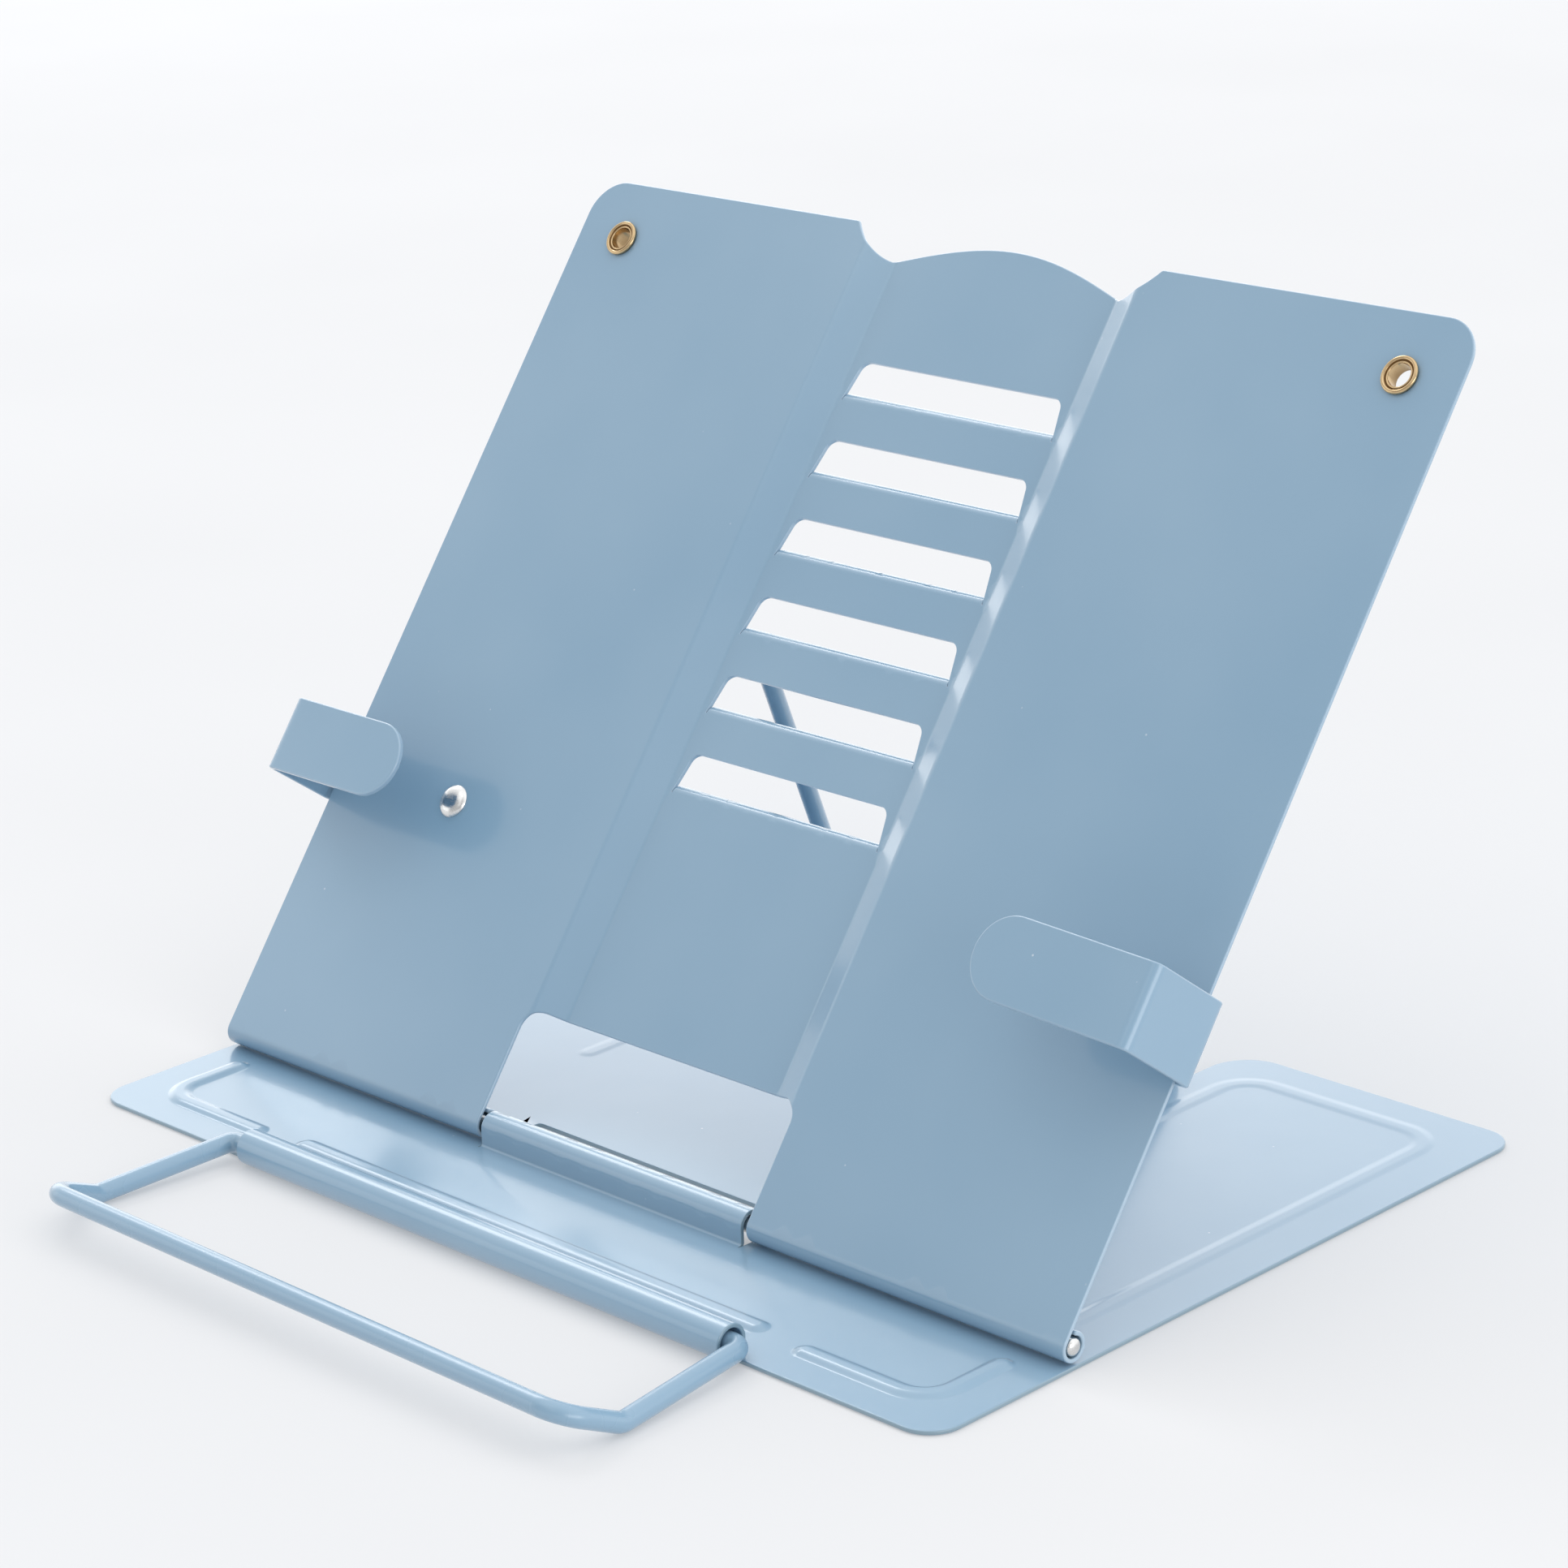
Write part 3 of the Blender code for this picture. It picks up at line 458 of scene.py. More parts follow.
def sheet(name, loops, inner, thickness, shape, place, body, node):
    """A sheet part from its flat pattern: an outline and its holes, each with the radius of its edges, and sets of
    inner points. shape takes pattern points to the sheet's middle surface. Each side lies half the thickness from it
    along the surface's normal, the cross product of its two slopes. A rim is rounded: at an angle a it stands the
    radius times sin a out and the radius times cos a up from the rounding's own centre."""
    edge_radii = [radius for _, radius in loops]
    loops = [loop if (area(loop) > 0) == (index == 0) else loop[::-1] for index, (loop, _) in enumerate(loops)]
    out = [outward(loop) for loop in loops]
    rims = [loop - edge_r * away for loop, away, edge_r in zip(loops, out, edge_radii)]
    inner = np.concatenate(inner)
    inner = inner[within(inner, rims)]
    for rim in rims:
        inner = inner[distance_to(inner, np.concatenate([rim, rim[:1]])) > INNER_CLEAR]
    flat = np.concatenate([*rims, inner])
    firsts = np.cumsum([0, *map(len, rims)])
    sides = [(first + i, first + (i + 1) % len(rim)) for first, rim in zip(firsts, rims) for i in range(len(rim))]
    _, _, triangles, origins, _, _ = delaunay_2d_cdt([Vector(p) for p in flat], sides, [], 0, 1e-7, True)
    triangles = np.array([origin[0] for origin in origins])[np.array(triangles)]
    triangles = triangles[within(flat[triangles].mean(1), rims)]
    used = np.unique(triangles)
    renumber = np.full(len(flat), -1)
    renumber[used] = np.arange(len(used))
    triangles = renumber[triangles]
    flat = flat[used]
    count = len(flat)

    def surface(points):
        step = 0.01
        middle = shape(points)
        ahead, behind = shape(points + [step, 0]), shape(points - [step, 0])
        above, below = shape(points + [0, step]), shape(points - [0, step])
        across, along = (ahead - behind) / (2 * step), (above - below) / (2 * step)
        return middle, unit(np.cross(across, along)), across, along

    middle, normal, _, _ = surface(flat)
    half = thickness / 2
    points = [middle + normal * half, middle - normal * half]
    normals = [normal, -normal]
    # How far round its rim each point lies, kept as cut_edge: the coats paint a highlight there on the plate and arms,
    # and shade on the base
    edge = [np.zeros(2 * count)]
    faces = triangles.tolist() + (triangles[:, ::-1] + count).tolist()
    angles = np.radians([0, 22.5, 45, 67.5, 90])
    start = 2 * count
    for loop, away, first, edge_r in zip(loops, out, firsts, edge_radii):
        size = len(loop)
        rim_of = renumber[np.arange(first, first + size)]
        rows = [rim_of]
        for side in (1, -1):
            for angle in angles[1:] if side == 1 else angles[:0:-1]:
                place_flat = loop - away * edge_r * (1 - math.sin(angle))
                centre, up, across, along = surface(place_flat)
                push = unit(across * away[:, :1] + along * away[:, 1:])
                points.append(centre + up * side * (half - edge_r + edge_r * math.cos(angle)))
                normals.append(up * side * math.cos(angle) + push * math.sin(angle))
                edge.append(np.full(size, math.sin(angle)))
                rows.append(start + np.arange(size))
                start += size
        rows.append(rim_of + count)
        for row, following in zip(rows, rows[1:]):
            quads = np.stack([row, following, np.roll(following, -1), np.roll(row, -1)], 1)
            faces += quads.tolist()
    points, normals, edge = np.concatenate(points), np.concatenate(normals), np.concatenate(edge)
    facing = place(normals) - place(np.zeros((1, 3)))
    return add_piece(name, place(points), faces, body, node, "powder_coat", facing, {"cut_edge": edge})


def wire(name, half, bend_radii, radius, body, node):
    """A round wire through half of its corners and their mirror images: at each place of its path a circle spanned by
    two vectors square to the path, the first level with the table. The ends are quarter rounds that shrink the circle
    to a small flat."""
    path = divided(bent_path(mirrored(half), bend_radii + bend_radii[::-1]), WIRE_STEP)
    along = unit(np.gradient(path, axis=0))
    side = unit(np.cross(along, [0, 0, 1.0]))
    up = np.cross(side, along)
    cap = np.radians([0, 22.5, 45, 67.5])
    shrink = radius - WIRE_END_R + WIRE_END_R * np.sin(cap)
    back = -WIRE_END_R * np.cos(cap)
    first, last = path[:1] + along[:1] * back[:, None], path[-1:] - along[-1:] * back[:, None]
    centres = np.concatenate([first, path, last[::-1]])
    sides, ups = [np.pad(vectors, ((len(back), len(back)), (0, 0)), "edge") for vectors in (side, up)]
    radii = np.concatenate([shrink, np.full(len(path), radius), shrink[::-1]])[:, None, None]
    around = np.linspace(0, 2 * np.pi, WIRE_SIDES, endpoint=False)[None, :, None]
    rings = centres[:, None] + radii * (sides[:, None] * np.cos(around) + ups[:, None] * np.sin(around))
    count = rings.shape[1]
    index = np.arange(rings.shape[0] * count).reshape(-1, count)
    here, following = index[:-1], index[1:]
    quads = np.stack([here, following, np.roll(following, -1, 1), np.roll(here, -1, 1)], 2).reshape(-1, 4)
    faces = quads.tolist() + [index[0].tolist(), index[-1][::-1].tolist()]
    points = rings.reshape(-1, 3)
    away = points - np.repeat(centres, count, 0)
    return add_piece(name, base_place(points), faces, body, node, "powder_coat", away)


def turned(name, profile, spin, place, body, node, slot, segments=96, groove=None):
    """A turned piece: its profile of (radius, height) points swept round an axis by cosine and sine. A profile that
    starts and ends on the axis is closed there, any other one closes on itself."""
    profile = np.array(profile, float)
    ends_on_axis = profile[0, 0] == 0
    body_profile = profile[1:-1] if ends_on_axis else profile
    angle = np.linspace(0, 2 * np.pi, segments, endpoint=False)
    radius, height = body_profile[:, :1], body_profile[:, 1:]
    points = np.stack([radius * np.cos(angle), radius * np.sin(angle), height + 0 * angle], 2).reshape(-1, 3)
    index = np.arange(len(points)).reshape(-1, segments)
    here, following = (index[:-1], index[1:]) if ends_on_axis else (index, np.roll(index, -1, 0))
    quads = np.stack([here, np.roll(here, -1, 1), np.roll(following, -1, 1), following], 2).reshape(-1, 4)
    faces = quads.tolist()
    if ends_on_axis:
        poles = np.array([[0, 0, profile[0, 1]], [0, 0, profile[-1, 1]]])
        first, last = len(points), len(points) + 1
        points = np.concatenate([points, poles])
        ring, final = index[0], index[-1]
        faces += np.stack([np.full(segments, first), np.roll(ring, -1), ring], 1).tolist()
        faces += np.stack([np.full(segments, last), final, np.roll(final, -1)], 1).tolist()
    # A groove share for each profile point, kept on the mesh, which the brass paints as shade with some tarnish
    marks = None if groove is None else {"groove": np.repeat(groove, segments)}
    return add_piece(name, place(spin(points)), faces, body, node, slot, None, marks)


# The base


def bead_paths():
    """The beads' middle lines: one straight behind the front hem, and an L and a hook mirrored on each side."""
    paths = [np.array([[-MIDDLE_BEAD_X, MIDDLE_BEAD_Y], [MIDDLE_BEAD_X, MIDDLE_BEAD_Y]])]
    for side in (-1, 1):
        front = [(FRONT_BEAD_START_X, FRONT_BEAD_Y), (FRONT_BEAD_X, FRONT_BEAD_Y), (FRONT_BEAD_X, FRONT_BEAD_END_Y)]
        rear = [(REAR_BEAD_X, REAR_BEAD_START_Y), (REAR_BEAD_X, REAR_BEAD_Y)]
        rear += [(NOTCH_BEAD_X, REAR_BEAD_Y), (NOTCH_BEAD_X, NOTCH_BEAD_END_Y)]
        for corners, radii in ((front, [FRONT_BEAD_BEND_R]), (rear, [REAR_BEAD_BEND_R] * 2)):
            paths.append(bent_path(corners, radii) * [side, 1])
    return paths


def bead_rise(points):
    """How far a bead lifts the sheet: level near its middle line, then half a cosine wave of the distance to it."""
    rise = np.zeros(len(points))
    near = np.abs(points[:, 1] - (BASE_FRONT + BASE_BACK) / 2) < (BASE_BACK - BASE_FRONT) / 2
    for path in bead_paths():
        height = REAR_BEAD_HEIGHT if path[:, 1].max() > 0 else BEAD_HEIGHT
        away = distance_to(points[near], path)
        share = np.clip((away - BEAD_TOP_HALF) / (BEAD_HALF - BEAD_TOP_HALF), 0, 1)
        lift = height * (1 + np.cos(np.pi * share)) / 2
        rise[near] = np.maximum(rise[near], lift)
    return rise


def base_shape(points):
    """The base's middle surface. Past a hem's or the tongue's own line the flat length becomes an angle: the sheet
    runs round a circle, its place the circle's centre plus the cosine and sine of length over radius."""
    x, v = points.T
    y, z = v.copy(), SHEET / 2 + bead_rise(points)
    front = (v < BASE_FRONT) & (np.abs(x - FRONT_HEM_MIDDLE) < FRONT_HEM_X + 0.5)
    rear = (v > REAR_HEM_Y) & (np.abs(x) < REAR_HEM_X + 0.5)
    for hem, line, hem_r in ((front, BASE_FRONT, FRONT_HEM_R), (rear, REAR_HEM_Y, REAR_HEM_R)):
        radius = hem_r - SHEET / 2
        angle = -np.pi / 2 + (v - line) / radius
        y = np.where(hem, line + radius * np.cos(angle), y)
        z = np.where(hem, hem_r + radius * np.sin(angle), z)
    start = -KNUCKLE_MID_R - NECK_BEND_R
    tongue = (v > start) & (v < WINDOW_BACK - 0.3) & (np.abs(x) < WINDOW_X - KERF / 2)
    length = v - start
    bend = NECK_BEND_R * np.pi / 2
    neck = HINGE_Z - SHEET / 2 - NECK_BEND_R
    turn = np.clip(length, 0, bend) / NECK_BEND_R
    angle = np.pi - np.clip(length - bend - neck, 0, None) / KNUCKLE_MID_R
    rolled = length > bend + neck
    tongue_y = np.where(rolled, KNUCKLE_MID_R * np.cos(angle), start + NECK_BEND_R * np.sin(turn))
    tongue_z = SHEET / 2 + NECK_BEND_R * (1 - np.cos(turn)) + np.clip(length - bend, 0, neck)
    tongue_z = np.where(rolled, HINGE_Z + KNUCKLE_MID_R * np.sin(angle), tongue_z)
    return np.stack([x, np.where(tongue, tongue_y, y), np.where(tongue, tongue_z, z)], 1)


def bead_lattice(path):
    """Points beside a bead's middle line and round its two ends."""
    path = divided(path, 1.0)
    along = unit(np.gradient(path, axis=0))
    left = np.stack([-along[:, 1], along[:, 0]], 1)
    offsets = np.linspace(-BEAD_LINES_HALF, BEAD_LINES_HALF, BEAD_LINES)
    band = (path[:, None] + left[:, None] * offsets[None, :, None]).reshape(-1, 2)
    angle, reach = np.meshgrid(np.linspace(0.2, np.pi - 0.2, 13), offsets[offsets > 0.2])
    angle, reach = angle.ravel()[:, None], reach.ravel()[:, None]
    ends = [
        place + reach * (side * np.cos(angle) + direction * np.sin(angle))
        for place, side, direction in ((path[0], left[0], -along[0]), (path[-1], left[-1], along[-1]))
    ]
    return np.concatenate([band, *ends])


def make_base():
    """The base's flat pattern: outline with both hems unrolled, the cut round the hinge's tongue, and inner points."""
    front_end = BASE_FRONT - (FRONT_HEM_R - SHEET / 2) * HEM_ROLL
    rear_end = REAR_HEM_Y + (REAR_HEM_R - SHEET / 2) * HEM_ROLL
    half = [
        (FRONT_HEM_X, front_end, HEM_CORNER_R),
        (FRONT_HEM_X, BASE_FRONT, FRONT_HEM_FOOT_R),
        (BASE_X, BASE_FRONT, BASE_CORNER_R),
        (BASE_X, BASE_BACK, BASE_CORNER_R),
        (NOTCH_X, BASE_BACK, NOTCH_LIP_R),
        (NOTCH_X, NOTCH_FRONT, NOTCH_INNER_R),
        (REAR_HEM_X, NOTCH_FRONT, REAR_HEM_FOOT_R),
        (REAR_HEM_X, rear_end, HEM_CORNER_R),
    ]
    outline = rounded_loop(mirrored(half))
    on_hem = (outline[:, 1] < BASE_FRONT + 0.6) & (np.abs(outline[:, 0]) < FRONT_HEM_X + 1)
    outline[:, 0] += np.where(on_hem, FRONT_HEM_MIDDLE, 0)

    def spacing(middles):
        rolled = (middles[:, 1] < BASE_FRONT + 0.4) & (np.abs(middles[:, 0] - FRONT_HEM_MIDDLE) < FRONT_HEM_X + 1)
        rolled |= (middles[:, 1] > REAR_HEM_Y - 0.4) & (np.abs(middles[:, 0]) < REAR_HEM_X + 1)
        return np.where(rolled, ROLL_STEP, EDGE_STEP)

    outline = divided(divided(outline, EDGE_STEP, True), spacing, True)
    start = -KNUCKLE_MID_R - NECK_BEND_R
    tongue_end = start + NECK_BEND_R * np.pi / 2 + HINGE_Z - SHEET / 2 - NECK_BEND_R + KNUCKLE_MID_R * KNUCKLE_ROLL
    window = mirrored([(WINDOW_X, start - 0.3, 0), (WINDOW_X, WINDOW_BACK, WINDOW_CORNER_R)])
    window += mirrored([(KERF - WINDOW_X, start - 0.3, 0), (KERF - WINDOW_X, tongue_end, TONGUE_CORNER_R)])
    window = divided(rounded_loop(window), 0.5, True)
    hem_x = FRONT_HEM_MIDDLE + np.linspace(-FRONT_HEM_X + 0.4, FRONT_HEM_X - 0.4, 31)
    rear_x = np.linspace(-REAR_HEM_X + 0.4, REAR_HEM_X - 0.4, 19)
    tongue_x = np.linspace(-WINDOW_X + 0.8, WINDOW_X - 0.8, 19)
    plain = lattice(np.arange(-102, 103, FLAT_STEP), np.arange(-30, 116, FLAT_STEP))
    for path in bead_paths():
        plain = plain[distance_to(plain, path) > BEAD_HALF + 1]
    inner = [
        plain,
        lattice(hem_x, np.arange(front_end + 0.1, BASE_FRONT + 1.0, HEM_STEP)),
        lattice(rear_x, np.arange(REAR_HEM_Y - 1.0, rear_end, HEM_STEP)),
        lattice(tongue_x, np.arange(start - 0.1, tongue_end, TONGUE_STEP)),
        *[bead_lattice(path) for path in bead_paths()],
    ]
    loops = [(outline, SHEET_EDGE_R), (window, KERF_EDGE_R)]
    return sheet("base", loops, inner, SHEET, base_shape, base_place, "base", "base_plate")


# The back plate


def trough(x):
    """Y of the plate's middle surface across its width: floor, arc, straight side, arc and wing."""
    slope = math.atan2(FLOOR_MID - WING_MID, TROUGH_MOUTH_X - TROUGH_FLOOR_X)
    foot = TROUGH_BEND_R * math.tan(slope / 2)
    q = np.abs(x)
    low, high = TROUGH_FLOOR_X - foot, TROUGH_MOUTH_X + foot
    low_arc = FLOOR_MID - TROUGH_BEND_R + np.sqrt(np.clip(TROUGH_BEND_R**2 - (q - low) ** 2, 0, None))
    high_arc = WING_MID + TROUGH_BEND_R - np.sqrt(np.clip(TROUGH_BEND_R**2 - (high - q) ** 2, 0, None))
    straight = FLOOR_MID - (q - TROUGH_FLOOR_X) * math.tan(slope)
    y = np.where(q < low, FLOOR_MID, low_arc)
    y = np.where(q > TROUGH_FLOOR_X + foot * math.cos(slope), straight, y)
    y = np.where(q > TROUGH_MOUTH_X - foot * math.cos(slope), high_arc, y)
    return np.where(q > high, WING_MID, y)


def slot_bottom(number):
    """The height of a slot's lower edge, one pitch lower for each slot down from the top."""
    return SLOT_TOP - SLOT_HEIGHT - number * SLOT_PITCH


def plate_shape(points):
    """The plate's middle surface: the trough's section drawn up the plate, each wing's foot rolled round the pin
    and each tab turned back round a small circle at its slot's lower edge, where flat length becomes an angle."""
    x, s = points.T
    y, up = trough(x), s.copy()
    angle = np.pi - s / KNUCKLE_MID_R
    rolled = s < 0
    y = np.where(rolled, KNUCKLE_MID_R * np.cos(angle), y)
    up = np.where(rolled, KNUCKLE_MID_R * np.sin(angle), up)
    number = np.clip(np.floor((SLOT_TOP - s) / SLOT_PITCH), 0, SLOT_COUNT - 1)
    bottom = slot_bottom(number)
    length = s - bottom
    on_tab = inside(np.stack([x, length], 1), tab_outline(KERF / 2, 0))
    turn = np.clip(length / TAB_BEND_R, 0, TAB_BEND)
    beyond = np.clip(length - TAB_BEND_R * TAB_BEND, 0, None)
    tab_y = FLOOR_MID + TAB_BEND_R * (1 - np.cos(turn)) + beyond * math.sin(TAB_BEND)
    tab_up = bottom + TAB_BEND_R * np.sin(turn) + beyond * math.cos(TAB_BEND)
    return np.stack([x, np.where(on_tab, tab_y, y), np.where(on_tab, tab_up, up)], 1)


def top_edge():
    """The right half of the top edge, from the wing inwards: a rounded corner, a parabola down to the valley, then
    a quarter of a cosine wave up to the middle of the arch."""
    share = np.linspace(1, 0, 15)
    run = TOP_EDGE_END_X - VALLEY_X
    down = np.stack([VALLEY_X + run * share, PLATE_LENGTH - VALLEY_DEPTH * (1 - share**2)], 1)
    corner = corner_arc(np.array([PLATE_X, PLATE_LENGTH]), down[0], down[1], TOP_EDGE_END_R)
    share = np.linspace(1, 0, 22)[1:-1]
    rise = PLATE_LENGTH - VALLEY_DEPTH + VALLEY_DEPTH * np.cos(np.pi * share / 2)
    return np.concatenate([corner, down[1:], np.stack([VALLEY_X * share, rise], 1)])


def tab_outline(gap, low):
    """A tab's flat outline from its bend, this far inside its slot's sides: clockwise (x, height) points."""
    lean = (SLOT_BOTTOM_X - SLOT_TOP_X) / SLOT_HEIGHT
    tip = TAB_LENGTH + KERF - gap
    half = [(SLOT_BOTTOM_X - gap - lean * low, low, 0), (SLOT_BOTTOM_X - gap - lean * tip, tip, SLOT_CORNER_R - gap)]
    return rounded_loop(mirrored(half)[::-1])


def slot_loop(number):
    """The thin cut round a tab: up one side of the slot, over and down, and back along the tab's own edge."""
    slot = rounded_loop(mirrored([(SLOT_BOTTOM_X, KERF_LOW, 0), (SLOT_TOP_X, SLOT_HEIGHT, SLOT_CORNER_R)]))
    return np.concatenate([slot, tab_outline(KERF, KERF_LOW)]) + [0, slot_bottom(number)]


def circle(x, y, radius, count=64):
    """Evenly spaced places round a centre, by cosine and sine."""
    angle = np.linspace(0, 2 * np.pi, count, endpoint=False)
    return np.stack([x + radius * np.cos(angle), y + radius * np.sin(angle)], 1)


def make_plate():
    """The plate's flat pattern: outline with the wings' feet unrolled, cuts round the tabs, four holes, and inner
    points. The outline is drawn for the right half and mirrored."""
    foot = -KNUCKLE_MID_R * PLATE_ROLL
    edge = top_edge()
    right = [(CUTAWAY_X, foot, FOOT_CORNER_R), (PLATE_X, foot, FOOT_CORNER_R), (PLATE_X, PLATE_LENGTH, PLATE_CORNER_R)]
    right += [(0.0, PLATE_LENGTH, 0), (0.0, CUTAWAY_UP, 0), (CUTAWAY_X, CUTAWAY_UP, CUTAWAY_R)]
    right = rounded_loop(right)
    middle = int(np.argmin(np.abs(right[:, 0]) + np.abs(right[:, 1] - PLATE_LENGTH)))
    right = np.concatenate([right[middle + 2 :], right[:middle], edge])
    left = (right * [-1, 1])[::-1]
    outline = np.concatenate([right, [[0, PLATE_LENGTH]], left])

    def spacing(middles):
        return np.where(middles[:, 1] < 0.5, ROLL_STEP, EDGE_STEP)

    def at_ends(middles):
        return np.where(np.abs(middles[:, 0]) > SLOT_TOP_X - 3, FINE_STEP, CUT_STEP)

    outline = divided(divided(outline, EDGE_STEP, True), spacing, True)
    loops = [(outline, SHEET_EDGE_R)]
    for number in range(SLOT_COUNT):
        loops.append((divided(divided(slot_loop(number), CUT_STEP, True), at_ends, True), KERF_EDGE_R))
    for side in (-1, 1):
        loops.append((circle(side * EYELET_X, EYELET_UP, EYELET_BORE_R + EYELET_WALL + 0.1), KERF_EDGE_R))
        loops.append((circle(side * RIVET_X, ARM_UP, RIVET_R + SLIDE_GAP), KERF_EDGE_R))
    bend = np.linspace(-0.65, 0.65, 10)
    slope_x = np.concatenate([TROUGH_FLOOR_X + bend, np.arange(27.8, 31.8, 0.9), TROUGH_MOUTH_X + bend])
    wing_x = np.arange(CUTAWAY_X + 1, PLATE_X - 0.5, FOOT_X_STEP)
    inner = [
        lattice(both_sides(slope_x), np.arange(CUTAWAY_UP + 1, PLATE_LENGTH, SLOPE_STEP)),
        lattice(both_sides(np.arange(CUTAWAY_X + 2, PLATE_X, FLAT_STEP)), np.arange(2, PLATE_LENGTH - 1, FLAT_STEP)),
        lattice(np.arange(-24, 25, FLAT_STEP), np.arange(CUTAWAY_UP + 4, PLATE_LENGTH - 4, FLAT_STEP)),
        lattice(both_sides(wing_x), np.arange(foot + 0.15, 1.0, FOOT_STEP)),
    ]
    for number in range(SLOT_COUNT):
        bottom = slot_bottom(number)
        bend = np.arange(bottom - 0.35, bottom + TAB_BEND_R * TAB_BEND + 0.3, TAB_STEP)
        inner.append(lattice(np.linspace(-SLOT_BOTTOM_X + 1.2, SLOT_BOTTOM_X - 1.2, 22), bend))
    return sheet("plate", loops, inner, SHEET, plate_shape, plate_place, "plate", "back_plate")


# The arms


def make_arm(word):
    """A strip bent round the plate's edge, its flat pattern a long slotted stadium. Length along the strip becomes
    a place on its bent path and width the height up the plate. The middle line strays by a cosine step behind the
    wing, then evenly along the flange."""
    side, half, wall_x, front_y, tip, stray_at_wall, stray_at_tip = ARMS[word]
    corners = [(ARM_REAR_END_X, ARM_REAR_Y), (wall_x, ARM_REAR_Y), (wall_x, front_y), (tip, front_y)]
    path = divided(bent_path(corners, [ARM_REAR_BEND_R, ARM_FRONT_BEND_R]), 0.12)
    reach = np.concatenate([[0], np.cumsum(np.linalg.norm(np.diff(path, axis=0), axis=1))])
    length = reach[-1]
    first, second = RIVET_X + ARM_WASHER_R - ARM_REAR_END_X, wall_x - ARM_REAR_END_X
    third = second + ARM_REAR_Y - front_y

    def stray(t):
        step = stray_at_wall * (1 - np.cos(np.pi * np.clip((t - first) / (second - first), 0, 1))) / 2
        return step + (stray_at_tip - stray_at_wall) * np.clip((t - third) / (length - third), 0, 1)

    def shape(points):
        t, w = points.T
        x, y = np.interp(t, reach, path[:, 0]), np.interp(t, reach, path[:, 1])
        return np.stack([side * x, y, ARM_UP + stray(t) + side * w], 1)

    def stadium(near, far, radius, spacing):
        """A half circle round each of two places, joined by sides that a parabola widens most at their middle,
        because no side of a stamped strip is quite straight."""
        angle = np.linspace(-np.pi / 2, np.pi / 2, 33)
        end = np.stack([far + radius * np.cos(angle), radius * np.sin(angle)], 1)
        start = np.stack([near - radius * np.cos(angle), -radius * np.sin(angle)], 1)
        loop = divided(np.concatenate([end, start]), spacing, True)
        share = (loop[:, 0] - (near + far) / 2) / ((far - near) / 2 + radius)
        return loop * np.stack([np.ones(len(loop)), 1 + ARM_FULLER - ARM_FULLER * share**2], 1)

    outline = stadium(half, length - half, half, 0.5)
    slot_end = RIVET_X - ARM_REAR_END_X
    slot = stadium(slot_end - ARM_TRAVEL, slot_end, ARM_SLOT_HALF, 0.6)
    inner = [lattice(np.arange(0.5, length, 0.5), np.linspace(-half + 0.8, half - 0.8, 9))]
    loops = [(outline, ARM_EDGE_R), (slot, ARM_EDGE_R)]
    return sheet(f"arm_{word}_strip", loops, inner, ARM_SHEET, shape, plate_place, f"arm_{word}", f"arm_{word}")


# Wires


def make_prop():
    """The prop's right half: in the rear hem, out to its foot, up the leg, and the bar where the plate's tab seats
    it."""
    back, up = PROP_SEAT
    lean = np.pi / 2 - PLATE_ANGLE
    bar_y = up * math.sin(lean) + back * math.cos(lean)
    bar_z = HINGE_Z + up * math.cos(lean) - back * math.sin(lean)
    half = [(PROP_INSERT_X, REAR_HEM_Y, REAR_HEM_R), (PROP_FOOT_X, REAR_HEM_Y, REAR_HEM_R), (PROP_BAR_X, bar_y, bar_z)]
    return wire("prop", half, [PROP_FOOT_BEND_R, PROP_TOP_BEND_R], PROP_R, "prop", "prop_wire")


def make_bail():
    """The bail's right half: in the front hem, out, forward along an arm that dips to the table, and up a short
    riser to the bar."""
    dip = math.asin((FRONT_HEM_R - BAIL_R) / BAIL_ARM)
    bend_y = BASE_FRONT - BAIL_ARM * math.cos(dip)
    rise = BAIL_RISER_TURN - dip
    bar_y = bend_y - BAIL_RISER * math.cos(rise)
    half = [
        (BAIL_INSERT_X, BASE_FRONT, FRONT_HEM_R),
        (BAIL_FOOT_X, BASE_FRONT, FRONT_HEM_R),
        (BAIL_BEND_X, bend_y, BAIL_R),
        (BAIL_BAR_X, bar_y, BAIL_R + BAIL_RISER * math.sin(rise)),
    ]
    return wire("bail", half, [BAIL_FOOT_BEND_R, BAIL_BEND_R, BAIL_BAR_BEND_R], BAIL_R, "bail", "bail_wire")


# Turned pieces


def make_pin():
    """The hinge pin: a straight rod whose ends are domes, quarter ellipses of its radius and a lower height."""
    half = PLATE_X + PIN_OUT
    dome = np.radians([84, 78, 72, 66, 60, 52, 44, 36, 28, 20, 12, 4])
    end = np.stack([PIN_R * np.cos(dome), half - PIN_END_R * (1 - np.sin(dome))], 1)
    profile = np.concatenate([[[0, -half]], end * [1, -1], end[::-1], [[0, half]]])

    def along_x(points):
        return np.stack([points[:, 2], points[:, 0], points[:, 1] + HINGE_Z], 1)

    return turned("pin", profile, along_x, base_place, "base", "hinge_pin", "bare_steel", 48)


def on_wing(x, up):
    """Turns a profile's height to point backwards through the plate at this place."""

    def spin(points):
        return np.stack([x + points[:, 0], points[:, 2], up - points[:, 1]], 1)

    return spin


def ring_profile(inner, outer, low, thickness):
    """A washer's section: a rectangle with rounded corners."""
    corners = ((inner, low), (outer, low), (outer, low + thickness), (inner, low + thickness))
    return rounded_loop([(*corner, WASHER_CORNER_R) for corner in corners])


